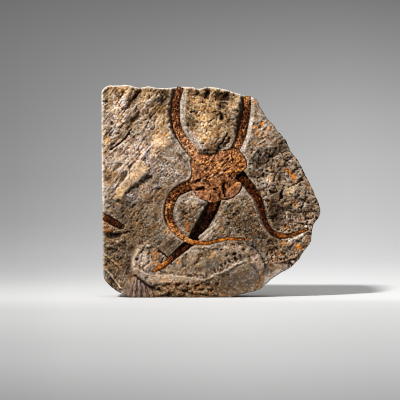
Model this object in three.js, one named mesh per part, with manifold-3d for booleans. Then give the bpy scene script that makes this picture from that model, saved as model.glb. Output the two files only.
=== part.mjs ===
// Fossil brittle star lying in prepared channels on the face of a standing siltstone slab.
// Millimetres, +Z up, the face with the fossil looks towards -Y, origin under the middle of the
// slab on the surface that it stands on.
import * as THREE from 'three';
import { mergeVertices } from 'three/addons/utils/BufferGeometryUtils.js';
import Module from 'manifold-3d';

// ---- driving dimensions ------------------------------------------------------------------
const GRID = 0.52;              // pitch of the plan grid that the face is drawn on
const GRID_MID_U = 210.8;       // grid column over the origin
const GRID_BASE_V = 297.4;      // grid row of the base; rows are counted downwards
const SLAB_THICKNESS = 24;
const FACE_RELIEF = 1.8;        // the highest rock stands this far in front of the mean face
const EDGE_BEVEL = 0.9;         // the broken front edge rolls back by this much
const BACK_BEVEL = 1.4;
const ARM_ASPECT = 0.82;        // an arm's thickness over its width
const CHANNEL_GAP = 0.45;       // free space between the fossil and its channel
const CHANNEL_FLARE = 0.9;      // the channel's walls lean out by this much
const JOINT_GAP = 0.35;         // free space between the disc and an arm's root
const DISC_TOP = -0.8;          // level of the disc's rim below the mean face
const DISC_DOME = 1.0;
const DISC_THICKNESS = 4.3;
const FACE_Y = -SLAB_THICKNESS / 2 + FACE_RELIEF;   // the mean face

// ---- plan of the slab, clockwise from its top left corner, in grid steps ------------------
const OUTLINE = [
  [101.3, 95], [102, 90], [107, 85.7], [113, 85], [120, 85], [126, 84.3], [135, 86.5], [140, 87.3],
  [148, 85.8], [160, 87.5], [170, 87.5], [178, 86.5], [185, 86.3], [192, 86.6], [200, 88.3],
  [207, 86.2], [218, 87.5], [226, 89.5], [235, 92.3], [245, 95.2], [253, 97.3], [258, 102],
  [263, 112], [269, 120], [276, 129], [286, 140], [290, 150], [300, 164], [306, 176], [313, 190],
  [319, 204], [320.3, 209], [320.3, 213], [315.5, 221], [313, 225], [312, 230], [311, 241],
  [306, 248], [299, 259], [290, 268], [280, 273], [270, 280], [260, 289], [250, 292], [240, 294],
  [231, 297.4], [222, 297.4], [212, 297.4], [202, 297.4], [192, 297.4], [182, 297.4],
  [172, 297.4], [162, 297.4], [152, 297.4], [142, 297.4], [134, 297.4], [128, 297.4], [123, 294],
  [115, 290], [108, 284], [104, 278], [103.5, 270], [103.5, 260], [103.5, 250], [103.2, 240],
  [103, 230], [102.5, 220], [102.3, 210], [103.8, 208.5], [104, 197], [103.5, 185], [103, 175],
  [102.7, 165], [102.3, 150], [102, 140], [101.8, 130], [101.6, 120], [101.5, 110], [101.4, 102],
];
const SLAB_MID = [208, 196];

// ---- swells and hollows of the rock face: centre, half sizes, lean in degrees, height ------
const SWELLS = [
  [211, 116, 27, 33, 0, 2.0], [122, 100, 30, 22, 0, 0.6], [131, 181, 23, 6, -45, 1.1],
  [135, 97, 13, 4, -57, -1.2], [126, 138, 19, 3.5, -38, -0.9], [160, 160, 18, 26, 0, 0.6],
  [192, 213, 13, 16, 20, 0.4], [238, 212, 15, 20, 20, 0.5], [290, 196, 16, 26, 25, 0.8],
  [276, 212, 5, 17, 0, -0.9], [264, 157, 13, 9, -20, -0.8], [262, 120, 12, 18, 30, 0.3],
  [240, 282, 26, 12, 0, -0.9], [168, 260, 30, 9, -12, -0.7], [115, 262, 12, 28, 0, 0.2],
  [138, 222, 20, 22, 0, 0.3], [212, 258, 20, 11, 0, 0.5], [295, 262, 16, 12, -35, -0.5],
  [165, 98, 7, 10, 0, -0.7], [268, 236, 16, 14, 0, -0.3],
];

// ---- the disc's rim ------------------------------------------------------------------------
const DISC_MID = [216, 175];
const DISC_RIM = [
  [200, 153], [207, 155.5], [212, 156], [217, 153], [223, 151], [230, 150], [236, 148.5],
  [241, 153.5], [244, 158], [246, 163], [245, 168], [242, 170], [239, 173], [237.5, 177],
  [238, 182], [241, 187], [239.5, 190], [236, 193], [231, 197], [225, 199.5], [217, 201],
  [209, 200.5], [201, 199], [196.5, 196], [193.5, 190], [189.5, 183], [189, 179], [191.5, 175],
  [192.5, 170], [191, 165], [190, 160], [194, 156],
];

// ---- arms: plan points from root to tip, width in grid steps, level of the top in mm --------
const ARMS = {
  arm_upper_left: [
    [198, 158, 9.5, -0.8], [194, 153, 9.5, -0.9], [189.5, 147.5, 9, -1.1], [185, 142, 8.8, -1.2],
    [180.5, 135, 8.2, -1.4], [177.5, 128, 8, -1.5], [175.6, 120, 7.5, -1.5], [175.3, 111, 7.2, -1.5],
    [176, 101, 6.6, -1.5], [177.3, 94, 6.3, -1.5], [178.6, 87.6, 6, -1.5],
  ],
  arm_upper_right: [
    [232.5, 156, 8, -0.8], [234.5, 150, 8, -1], [237.5, 143, 8, -1.3], [240.5, 136, 8, -1.6],
    [242.8, 129, 8, -1.7], [244.6, 121.5, 8, -1.7], [246, 114, 7.6, -1.7], [246.8, 106, 7, -1.6],
    [247, 97.2, 6.5, -1.5],
  ],
  arm_left_loop: [
    [193.5, 183, 11, -0.9], [186, 185.8, 11, -1], [180, 188.4, 10.5, -1.1], [174.3, 193, 10, -1.2],
    [170.2, 200, 10, -1.2], [168.1, 207, 9.8, -1.2], [167.6, 214, 9.4, -1.2], [169.2, 221, 9, -1.1],
    [172.2, 226.5, 8, -1], [176.3, 231.5, 7, -0.8], [181.4, 236.4, 6, -0.7], [187, 240, 5, -0.5],
    [193, 242, 4.4, -0.4], [200, 243, 3.6, -0.4], [208, 243, 3.3, -0.4], [215, 241.5, 3, -0.4],
    [222, 239.5, 2.8, -0.4], [228, 238.6, 2.5, -0.4], [235, 239, 2.2, -0.4], [243, 239.2, 1.8, -0.4],
  ],
  arm_lower: [
    [216.5, 196, 10, -1.1], [214.5, 202, 10, -1.4], [212, 208, 9.8, -1.7], [209, 214.5, 9.5, -2],
    [205.5, 221.5, 9, -2.3], [201, 229, 8.5, -2.7], [196.5, 235, 8, -3], [190.5, 241.5, 7.4, -3],
    [184.5, 246.8, 6.8, -2.4], [178, 252.2, 6.2, -1.8], [172, 257.6, 5.4, -1.3],
    [166, 262.8, 4.4, -0.9], [159.5, 267.6, 3.4, -0.7], [153, 271, 2, -0.6],
  ],
  arm_right: [
    [239.5, 177, 7.5, -1.1], [244, 180.5, 8, -1.3], [248.3, 185, 8, -1.4], [252.4, 190.5, 7.8, -1.4],
    [256.6, 196.5, 7, -1.4], [259.6, 203.5, 6.2, -1.4], [262, 211, 5.6, -1.3], [264.2, 219, 5.2, -1.2],
    [267.2, 226, 5.2, -1.1], [271.6, 231.8, 5.2, -0.9], [278, 235.3, 4.6, -0.8],
    [285, 236, 3.6, -0.7], [292, 234.4, 2.9, -0.6], [299, 232, 2.4, -0.5], [306.5, 229.3, 1.8, -0.5],
  ],
  edge_arm_fragment: [
    [103.9, 216.6, 6, -0.9], [108.5, 219, 6, -0.9], [114, 222.2, 5.6, -1], [120.5, 226, 4.6, -1.1],
  ],
};
const RUST = new THREE.Color().setRGB(0.42, 0.19, 0.07, THREE.SRGBColorSpace);
const ORANGE_RUST = new THREE.Color().setRGB(0.6, 0.36, 0.19, THREE.SRGBColorSpace);
const STONE = new THREE.Color().setRGB(0.5, 0.44, 0.35, THREE.SRGBColorSpace);

const gx = (u) => (u - GRID_MID_U) * GRID;
const gz = (v) => (GRID_BASE_V - v) * GRID;

// height of the rock face over the mean face at a plan point
function relief(x, z) {
  let h = 0;
  for (const [u, v, ru, rv, lean, amp] of SWELLS) {
    const du = x / GRID + GRID_MID_U - u, dv = GRID_BASE_V - z / GRID - v;
    const c = Math.cos(lean * Math.PI / 180), s = Math.sin(lean * Math.PI / 180);
    const a = (du * c + dv * s) / ru, b = (-du * s + dv * c) / rv;
    h += amp * Math.exp(-0.9 * (a * a + b * b));
  }
  return Math.min(h, FACE_RELIEF);
}

// one closed body from a geometry: shared vertices merged, collapsed triangles dropped
const wasm = await Module();
wasm.setup();
function toSolid(geometry) {
  const g = geometry.clone();
  for (const name of ['normal', 'uv']) g.deleteAttribute(name);
  const merged = mergeVertices(g, 1e-4);
  const index = merged.index.array, tris = [];
  for (let i = 0; i < index.length; i += 3) {
    const [a, b, c] = [index[i], index[i + 1], index[i + 2]];
    if (a !== b && b !== c && a !== c) tris.push(a, b, c);
  }
  return new wasm.Manifold(new wasm.Mesh({
    numProp: 3,
    vertProperties: new Float32Array(merged.attributes.position.array),
    triVerts: new Uint32Array(tris),
  }));
}
function toGeometry(solid) {
  const mesh = solid.getMesh();
  const g = new THREE.BufferGeometry();
  const n = mesh.vertProperties.length / mesh.numProp, p = new Float32Array(n * 3);
  for (let i = 0; i < n; i++) {
    for (let k = 0; k < 3; k++) p[i * 3 + k] = mesh.vertProperties[i * mesh.numProp + k];
  }
  g.setAttribute('position', new THREE.BufferAttribute(p, 3));
  g.setIndex(new THREE.BufferAttribute(new Uint32Array(mesh.triVerts), 1));
  g.computeVertexNormals();
  return g;
}

// A turned blank whose rings are drawn out to a rim. place(t, ring, k) gives the point of ring
// number `ring` (rim fraction t) on spoke k.
function rimmed(fractions, spokes, place) {
  const profile = fractions.map((t, i) => new THREE.Vector2(t, -i));
  const g = new THREE.LatheGeometry(profile, spokes);
  const p = g.attributes.position;
  for (let k = 0; k <= spokes; k++) {
    for (let j = 0; j < fractions.length; j++) {
      const [x, y, z] = place(fractions[j], j, k % spokes);
      p.setXYZ(k * fractions.length + j, x, y, z);
    }
  }
  return g;
}

// ---- slab ----------------------------------------------------------------------------------
const FRONT = [0, 0.1, 0.2, 0.31, 0.42, 0.53, 0.63, 0.73, 0.82, 0.9, 0.965, 1];
const SIDE = [1, 1, 1];
const BACK = [0.965, 0.75, 0.4, 0];
function slabBlank() {
  const rings = [...FRONT, ...SIDE, ...BACK];
  const nf = FRONT.length, ns = SIDE.length;
  return rimmed(rings, OUTLINE.length, (t, j, k) => {
    const [u, v] = OUTLINE[k];
    const base = v > GRID_BASE_V - 0.01;
    let x = gx(SLAB_MID[0] + t * (u - SLAB_MID[0]));
    let z = gz(SLAB_MID[1] + t * (v - SLAB_MID[1]));
    let y;
    if (j < nf) {
      y = FACE_Y - relief(x, z);
      if (t === 1) y += base ? 0.5 * EDGE_BEVEL : EDGE_BEVEL;
    } else if (j < nf + ns) {
      y = [-5, 3, SLAB_THICKNESS / 2 - BACK_BEVEL][j - nf];
      // the broken sides wander in and out a little; the base and the sawn left side stay true
      if (!base && u > 106 && j > nf) {
        const f = 1 - 0.006 * (1 + Math.sin(k * 1.7 + j * 2.1));
        x = gx(SLAB_MID[0] + f * (u - SLAB_MID[0]));
        z = gz(SLAB_MID[1] + f * (v - SLAB_MID[1]));
      }
    } else {
      y = SLAB_THICKNESS / 2;
    }
    return [x, y, z];
  });
}

// ---- disc ----------------------------------------------------------------------------------
function discBlank(grow, lift) {
  const rings = [0, 0.3, 0.55, 0.78, 0.93, 1, 1, 0.85, 0.4, 0];
  const top = FACE_Y - DISC_TOP;
  return rimmed(rings, DISC_RIM.length, (t, j, k) => {
    const [u, v] = DISC_RIM[k];
    const x0 = gx(DISC_MID[0]), z0 = gz(DISC_MID[1]);
    const dx = gx(u) - x0, dz = gz(v) - z0, r = Math.hypot(dx, dz);
    const f = t * (r + grow * (t > 0.5 ? 1 : 0)) / r;
    let y;
    if (j < 6) y = top - DISC_DOME * (1 - t * t) - lift + (j === 5 ? (lift ? 0 : 0.8) : 0);
    else if (j === 6) y = top + DISC_THICKNESS - 1 + (lift ? grow : 0);
    else y = top + DISC_THICKNESS + (lift ? grow : 0);
    return [x0 + f * dx, y, z0 + f * dz];
  });
}

// ---- arms ----------------------------------------------------------------------------------
// A tapered body along an arm's line. grow widens it all round; open carries the half that
// faces the viewer out through the rock face; tipGrow lengthens its ends.
function armBlank(points, sides, step, grow = 0, open = false, ends = [0, 0]) {
  const line = points.map(([u, v, w, top]) => {
    const a = w * GRID / 2, b = a * ARM_ASPECT;
    return { p: new THREE.Vector3(gx(u), FACE_Y - top + b, gz(v)), a, b };
  });
  const path = new THREE.CatmullRomCurve3(line.map((q) => q.p), false, 'centripetal');
  const count = Math.max(3, Math.round(path.getLength() / step));
  const g = new THREE.CylinderGeometry(1, 1, 1, sides, count);
  const pos = g.attributes.position, up = new THREE.Vector3(0, -1, 0);
  for (let i = 0; i < pos.count; i++) {
    const s = THREE.MathUtils.clamp(pos.getY(i) + 0.5, 0, 1);
    // the plan points share the curve's own parameter, so widths follow it
    const at = s * (line.length - 1), i0 = Math.min(Math.floor(at), line.length - 2), f = at - i0;
    const a = THREE.MathUtils.lerp(line[i0].a, line[i0 + 1].a, f) + grow;
    const b = THREE.MathUtils.lerp(line[i0].b, line[i0 + 1].b, f) + grow;
    const centre = path.getPoint(s), tangent = path.getTangent(s);
    tangent.y = 0;
    tangent.normalize();
    if (s === 0) centre.addScaledVector(tangent, -ends[0]);
    if (s === 1) centre.addScaledVector(tangent, ends[1]);
    const across = tangent.clone().cross(up);
    let dn = pos.getX(i) * a, db = pos.getZ(i) * b;
    if (open && pos.getZ(i) > 0.1) {
      db = 9 + (centre.y - FACE_Y);
      dn *= 1 + CHANNEL_FLARE / a;
    }
    const q = centre.clone().addScaledVector(across, dn).addScaledVector(up, db);
    pos.setXYZ(i, q.x, q.y, q.z);
  }
  return g;
}

const SIDES = 8;
const STEP = 2.3;
const opensAtEdge = { arm_upper_left: 4, arm_upper_right: 4 };

let slab = toSolid(slabBlank());
slab = slab.subtract(toSolid(discBlank(CHANNEL_GAP, 8)));
let disc = toSolid(discBlank(0, 0));
const arms = {};
for (const [name, points] of Object.entries(ARMS)) {
  arms[name] = toSolid(armBlank(points, SIDES, STEP));
  const rootRun = name === 'edge_arm_fragment' ? 4 : CHANNEL_GAP;
  const tipRun = opensAtEdge[name] ?? CHANNEL_GAP;
  // where the lower arm dives under the loop arm its channel is roofed by the loop arm alone
  slab = slab.subtract(toSolid(armBlank(points, SIDES, STEP, CHANNEL_GAP, true, [rootRun, tipRun])));
  if (name !== 'edge_arm_fragment') {
    disc = disc.subtract(toSolid(armBlank(points, SIDES, STEP, JOINT_GAP, false, [JOINT_GAP, 0])));
  }
}

function piece(name, solid, color, roughness) {
  const mesh = new THREE.Mesh(
    toGeometry(solid),
    new THREE.MeshStandardMaterial({ color, roughness, metalness: 0 }),
  );
  mesh.name = name;
  return mesh;
}

const group = new THREE.Group();
group.name = 'fossil_brittle_star';
group.add(piece('matrix_slab', slab, STONE, 0.92));
group.add(piece('disc', disc, ORANGE_RUST, 0.9));
for (const [name, solid] of Object.entries(arms)) group.add(piece(name, solid, RUST, 0.88));

export default group;
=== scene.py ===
# Fossil brittle star on a standing siltstone slab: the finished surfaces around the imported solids.
import bpy, math
import numpy as np
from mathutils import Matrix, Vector
from mathutils.geometry import delaunay_2d_cdt


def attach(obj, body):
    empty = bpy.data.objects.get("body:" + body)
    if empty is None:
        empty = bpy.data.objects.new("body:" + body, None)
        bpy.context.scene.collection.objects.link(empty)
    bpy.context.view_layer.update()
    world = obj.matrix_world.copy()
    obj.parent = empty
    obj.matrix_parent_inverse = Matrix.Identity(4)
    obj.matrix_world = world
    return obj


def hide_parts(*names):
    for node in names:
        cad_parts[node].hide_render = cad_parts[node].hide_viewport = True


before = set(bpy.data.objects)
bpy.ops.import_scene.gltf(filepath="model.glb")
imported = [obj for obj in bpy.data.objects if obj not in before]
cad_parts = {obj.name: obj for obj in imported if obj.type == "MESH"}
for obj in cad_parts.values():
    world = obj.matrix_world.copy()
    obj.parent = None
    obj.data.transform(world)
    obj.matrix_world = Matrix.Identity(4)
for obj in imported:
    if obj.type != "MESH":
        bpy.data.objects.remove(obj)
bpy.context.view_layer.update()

# ------------------------------------------------------------------------------------------
# plan grid shared with the solids: u to the right, v down, 0.52 mm a step
# ------------------------------------------------------------------------------------------
STEP = 0.52
U0, V0 = 210.8, 297.4
FACE_Y = -10.2           # mean face, mm; relief is counted from it towards the viewer
BACK_Y = 12.0
RS = 4                   # raster cells in a grid step
UA, UB, VA, VB = 97, 325, 80, 302
us = UA + (np.arange((UB - UA) * RS) + 0.5) / RS
vs = VA + (np.arange((VB - VA) * RS) + 0.5) / RS
UU, VV = np.meshgrid(us, vs)
rng = np.random.default_rng(20)


def X(u):
    return (u - U0) * STEP


def Z(v):
    return (V0 - v) * STEP


# ------------------------------------------------------------------------------------------
# noise
# ------------------------------------------------------------------------------------------
_a = rng.uniform(0, 2 * np.pi, 256)
G2 = np.stack([np.cos(_a), np.sin(_a)], 1)
_g = rng.normal(size=(256, 3))
G3 = _g / np.linalg.norm(_g, axis=1)[:, None]


def _hash(ix, iy, iz, seed):
    h = (ix * 73856093) ^ (iy * 19349663) ^ (iz * 83492791) ^ (seed * 265443577)
    h = ((h ^ (h >> 13)) * 1540483477) & 0x7FFFFFFF
    return h ^ (h >> 15)


def _fade(t):
    return t * t * t * (t * (t * 6 - 15) + 10)


def perlin(x, y, seed):
    xi, yi = np.floor(x).astype(np.int64), np.floor(y).astype(np.int64)
    xf, yf = x - xi, y - yi

    def corner(a, b):
        g = G2[_hash(xi + a, yi + b, 0, seed) & 255]
        return g[..., 0] * (xf - a) + g[..., 1] * (yf - b)

    u, v = _fade(xf), _fade(yf)
    top = corner(0, 0) * (1 - u) + corner(1, 0) * u
    low = corner(0, 1) * (1 - u) + corner(1, 1) * u
    return (top * (1 - v) + low * v) * 1.5


def perlin3(p, seed):
    i = np.floor(p).astype(np.int64)
    f = p - i
    w = _fade(f)
    out = 0
    for a in (0, 1):
        for b in (0, 1):
            for c in (0, 1):
                g = G3[_hash(i[:, 0] + a, i[:, 1] + b, i[:, 2] + c, seed) & 255]
                d = g[:, 0] * (f[:, 0] - a) + g[:, 1] * (f[:, 1] - b) + g[:, 2] * (f[:, 2] - c)
                k = (w[:, 0] if a else 1 - w[:, 0]) * (w[:, 1] if b else 1 - w[:, 1])
                out = out + d * k * (w[:, 2] if c else 1 - w[:, 2])
    return out * 1.4


def cells3(p, size, seed):
    """Distance to the nearest scattered point over the cell size, the gap to the next nearest, and a number for each cell."""
    p = p / size
    i = np.floor(p).astype(np.int64)
    f1 = np.full(len(p), 9.0)
    f2 = np.full(len(p), 9.0)
    who = np.zeros(len(p))
    for a in (-1, 0, 1):
        for b in (-1, 0, 1):
            for c in (-1, 0, 1):
                h = _hash(i[:, 0] + a, i[:, 1] + b, i[:, 2] + c, seed)
                g = _hash(i[:, 0] + a, i[:, 1] + b, i[:, 2] + c, seed + 31)
                q = np.stack([i[:, 0] + a + (h & 1023) / 1023.0, i[:, 1] + b + ((h >> 10) & 1023) / 1023.0, i[:, 2] + c + (g & 1023) / 1023.0], 1)
                d = np.linalg.norm(p - q, axis=1)
                near = d < f1
                f2 = np.where(near, f1, np.minimum(f2, d))
                who = np.where(near, ((g >> 10) & 255) / 255.0, who)
                f1 = np.where(near, d, f1)
    return f1, f2 - f1, who


def fbm3(p, size, octaves, seed, gain=0.5):
    out, amp, tot = 0, 1.0, 0
    for o in range(octaves):
        out = out + amp * perlin3(p / size * 2**o + 17.3 * o, seed + o)
        tot += amp
        amp *= gain
    return out / tot


def aniso(long, wide, lean, seed, octaves=1, gain=0.5, ridged=False, u=None, v=None):
    """Noise drawn out along a direction that leans `lean` degrees up to the right."""
    u = UU if u is None else u
    v = VV if v is None else v
    c, s = math.cos(math.radians(lean)), math.sin(math.radians(lean))
    p, q = (u * c - v * s) / long, (u * s + v * c) / wide
    out, amp, tot = 0, 1.0, 0
    for o in range(octaves):
        n = perlin(p * 2**o + 31.7 * o, q * 2**o + 11.9 * o, seed + o)
        if ridged:
            n = 1 - 2 * np.abs(n) * 1.6
        out = out + amp * n
        tot += amp
        amp *= gain
    return out / tot


def fbm(size, seed, octaves=3, gain=0.5, ridged=False, u=None, v=None):
    return aniso(size, size, 0, seed, octaves, gain, ridged, u, v)


def cells(size, seed, long=1.0, lean=0, u=None, v=None):
    """Distance to the nearest scattered point over the cell size, the gap to the next nearest, and a number for each cell."""
    u = UU if u is None else u
    v = VV if v is None else v
    c, s = math.cos(math.radians(lean)), math.sin(math.radians(lean))
    p, q = (u * c - v * s) / (size * long), (u * s + v * c) / size
    pi, qi = np.floor(p).astype(np.int64), np.floor(q).astype(np.int64)
    f1 = np.full(p.shape, 9.0)
    f2 = np.full(p.shape, 9.0)
    who = np.zeros(p.shape)
    for a in (-1, 0, 1):
        for b in (-1, 0, 1):
            h = _hash(pi + a, qi + b, 7, seed)
            px = pi + a + (h & 1023) / 1023.0
            qy = qi + b + ((h >> 10) & 1023) / 1023.0
            d = np.hypot(p - px, q - qy)
            near = d < f1
            f2 = np.where(near, f1, np.minimum(f2, d))
            who = np.where(near, ((h >> 3) & 255) / 255.0, who)
            f1 = np.where(near, d, f1)
    return f1, f2 - f1, who


def blur(a, sigma):
    """Gaussian blur, sigma in grid steps, edges mirrored."""
    pad = int(4 * sigma * RS) + 2
    b = np.pad(a, pad, mode="reflect")
    fy = np.fft.fftfreq(b.shape[0])[:, None]
    fx = np.fft.rfftfreq(b.shape[1])[None, :]
    k = np.exp(-2 * (np.pi * sigma * RS) ** 2 * (fx**2 + fy**2))
    out = np.fft.irfft2(np.fft.rfft2(b) * k, s=b.shape)
    return out[pad:-pad, pad:-pad]


def sstep(a, b, x):
    t = np.clip((x - a) / (b - a), 0, 1)
    return t * t * (3 - 2 * t)


def blob(u, v, ru, rv, lean=0, power=0.9):
    c, s = math.cos(math.radians(lean)), math.sin(math.radians(lean))
    du, dv = UU - u, VV - v
    return np.exp(-power * (((du * c + dv * s) / ru) ** 2 + ((-du * s + dv * c) / rv) ** 2))


# ------------------------------------------------------------------------------------------
# lines and outlines on the plan grid
# ------------------------------------------------------------------------------------------
def smooth_line(pts, n=5):
    P = np.array(pts, float)
    out = []
    for i in range(len(P) - 1):
        p0, p1, p2, p3 = P[max(i - 1, 0)], P[i], P[i + 1], P[min(i + 2, len(P) - 1)]
        for k in range(n):
            t = k / n
            out.append(0.5 * (2 * p1 + (p2 - p0) * t + (2 * p0 - 5 * p1 + 4 * p2 - p3) * t * t
                              + (3 * p1 - p0 - 3 * p2 + p3) * t**3))
    out.append(P[-1])
    return np.array(out)


def window(P, pad):
    i0 = max(int((P[:, 0].min() - pad - UA) * RS), 0)
    i1 = min(int((P[:, 0].max() + pad - UA) * RS) + 1, UU.shape[1])
    j0 = max(int((P[:, 1].min() - pad - VA) * RS), 0)
    j1 = min(int((P[:, 1].max() + pad - VA) * RS) + 1, UU.shape[0])
    return slice(j0, j1), slice(i0, i1)


class Track:
    """A line on the grid: for each cell near it the distance, the fraction along it, the side (+1 right of the way it runs) and the line's other columns."""

    def __init__(self, pts, pad, curve=True):
        P = smooth_line(pts) if curve and len(pts) > 2 else np.array(pts, float)
        self.sl = window(P, pad)
        u, v = UU[self.sl], VV[self.sl]
        best = np.full(u.shape, 1e9)
        seg = np.zeros(u.shape, int)
        tt = np.zeros(u.shape)
        sg = np.zeros(u.shape)
        for k in range(len(P) - 1):
            a, d = P[k, :2], P[k + 1, :2] - P[k, :2]
            t = np.clip(((u - a[0]) * d[0] + (v - a[1]) * d[1]) / (d @ d + 1e-12), 0, 1)
            du, dv = u - a[0] - t * d[0], v - a[1] - t * d[1]
            q = du * du + dv * dv
            m = q < best
            best[m], tt[m], seg[m], sg[m] = q[m], t[m], k, (d[0] * dv - d[1] * du)[m]
        self.d = np.sqrt(best)
        self.side = np.sign(sg)
        L = np.concatenate([[0], np.cumsum(np.hypot(*np.diff(P[:, :2], axis=0).T))])
        self.t = (L[seg] * (1 - tt) + L[seg + 1] * tt) / L[-1]
        self.cols = P[seg] * (1 - tt[..., None]) + P[seg + 1] * tt[..., None]
        self.u, self.v = u, v

    def col(self, i):
        return self.cols[..., i]


def inside(poly, u, v):
    P = np.array(poly, float)
    r = np.zeros(u.shape, bool)
    j = len(P) - 1
    for i in range(len(P)):
        (x1, y1), (x2, y2) = P[i], P[j]
        if y1 != y2:
            r ^= ((y1 > v) != (y2 > v)) & (u < (x2 - x1) * (v - y1) / (y2 - y1) + x1)
        j = i
    return r


def outline_distance(poly, pad=None):
    """Signed distance to a closed outline, positive inside; window if pad is given."""
    P = np.array(list(poly) + [poly[0]], float)
    sl = window(P, pad) if pad is not None else (slice(None), slice(None))
    u, v = UU[sl], VV[sl]
    best = np.full(u.shape, 1e9)
    for k in range(len(P) - 1):
        a, d = P[k], P[k + 1] - P[k]
        t = np.clip(((u - a[0]) * d[0] + (v - a[1]) * d[1]) / (d @ d + 1e-12), 0, 1)
        best = np.minimum(best, (u - a[0] - t * d[0]) ** 2 + (v - a[1] - t * d[1]) ** 2)
    d = np.sqrt(best)
    return sl, np.where(inside(poly, u, v), d, -d)


FRAY = 2.0 * perlin(UU / 4.7, VV / 4.7, 61) + 1.1 * perlin(UU / 2.1, VV / 2.1, 62)


def area(poly, feather, fray=1.0):
    """A mask that is 1 inside an outline and falls to 0 over `feather` either side of it; the edge is uneven."""
    m = np.zeros(UU.shape)
    sl, d = outline_distance(poly, feather + 3)
    m[sl] = sstep(-feather, feather, d + FRAY[sl] * min(feather, 1.6) * 0.55 * fray)
    return m


def facets(size, seed, long=1.0, lean=0, warp=0.30):
    """Broken ground: every cell is a small plane tipped its own way. Height in cell sizes, the gap to the next cell, a number for each cell."""
    c, s = math.cos(math.radians(lean)), math.sin(math.radians(lean))
    p, q = (UU * c - VV * s) / (size * long), (UU * s + VV * c) / size
    wu, wv = perlin(p * 1.2 + 5, q * 1.2, seed + 1), perlin(p * 1.2, q * 1.2 + 9, seed + 2)
    p, q = p + warp * wu, q + warp * wv
    pi, qi = np.floor(p).astype(np.int64), np.floor(q).astype(np.int64)
    f1 = np.full(p.shape, 9.0)
    f2 = np.full(p.shape, 9.0)
    best = np.zeros(p.shape)
    who = np.zeros(p.shape)
    for a in (-1, 0, 1):
        for b in (-1, 0, 1):
            h = _hash(pi + a, qi + b, 7, seed)
            dx = p - (pi + a + (h & 1023) / 1023.0)
            dy = q - (qi + b + ((h >> 10) & 1023) / 1023.0)
            d = np.hypot(dx, dy)
            g = _hash(pi + a, qi + b, 11, seed + 5)
            ang = (g & 1023) / 1023.0 * 2 * np.pi
            mag = 0.35 + 0.65 * ((g >> 10) & 255) / 255.0
            hh = (dx * np.cos(ang) + dy * np.sin(ang)) * mag
            near = d < f1
            f2 = np.where(near, f1, np.minimum(f2, d))
            best = np.where(near, hh, best)
            who = np.where(near, ((g >> 3) & 255) / 255.0, who)
            f1 = np.where(near, d, f1)
    return best, f2 - f1, who


OUTLINE = [
    (101.3, 95), (101.3, 92), (102, 90), (104, 87.5), (107, 85.7), (110, 84.7), (113, 85), (120, 85),
    (126, 84.3), (130, 85.2), (135, 86.5), (140, 87.3), (144, 86.8), (148, 85.8), (152, 86.7),
    (160, 87.5), (170, 87.5), (178, 86.5), (185, 86.3), (192, 86.6), (197, 88), (200, 88.3),
    (203, 87.3), (207, 86.2), (212, 86.8), (218, 87.5), (222, 88.5), (226, 89.5), (230, 90.5),
    (235, 92.3), (240, 93.8), (245, 95.2), (253, 97.3), (256, 98.5), (258, 102), (260, 107),
    (263, 112), (266, 117), (269, 120), (273, 124), (276, 129), (280, 133), (283, 137), (286, 140),
    (288, 145), (290, 150), (293, 154), (297, 159), (300, 164), (303, 170), (306, 176), (309, 182),
    (311, 186), (313, 190), (315, 195), (317, 199), (319, 204), (320.3, 209), (320.3, 213),
    (319, 217), (315.5, 221), (313, 225), (312, 230), (311.5, 236), (311, 241), (309, 245),
    (306, 248), (303, 252), (299, 259), (294, 264), (290, 268), (285, 270.5), (280, 273),
    (274, 277), (270, 280), (267, 283), (264, 286), (260, 289), (256, 290.5), (250, 292),
    (243, 293.5), (237, 295.4), (231, 297.4), (128, 297.4), (125, 295.6), (123, 294), (119, 292.5),
    (115, 290), (111, 287), (108, 284), (105.5, 281), (104, 278), (103.5, 270), (103.5, 250),
    (103, 230), (102.4, 210.5), (103.6, 209), (104, 197), (102.6, 160), (102, 140), (101.5, 110),
]

# The swells of the rock face, as in the solids.
SWELLS = [
    (211, 116, 27, 33, 0, 2.0), (122, 100, 30, 22, 0, 0.6), (131, 181, 23, 6, -45, 1.1),
    (135, 97, 13, 4, -57, -1.2), (126, 138, 19, 3.5, -38, -0.9), (160, 160, 18, 26, 0, 0.6),
    (192, 213, 13, 16, 20, 0.4), (238, 212, 15, 20, 20, 0.5), (290, 196, 16, 26, 25, 0.8),
    (276, 212, 5, 17, 0, -0.9), (264, 157, 13, 9, -20, -0.8), (262, 120, 12, 18, 30, 0.3),
    (240, 282, 26, 12, 0, -0.9), (168, 260, 30, 9, -12, -0.7), (115, 262, 12, 28, 0, 0.2),
    (138, 222, 20, 22, 0, 0.3), (212, 258, 20, 11, 0, 0.5), (295, 262, 16, 12, -35, -0.5),
    (165, 98, 7, 10, 0, -0.7), (268, 236, 16, 14, 0, -0.3),
]

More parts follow.
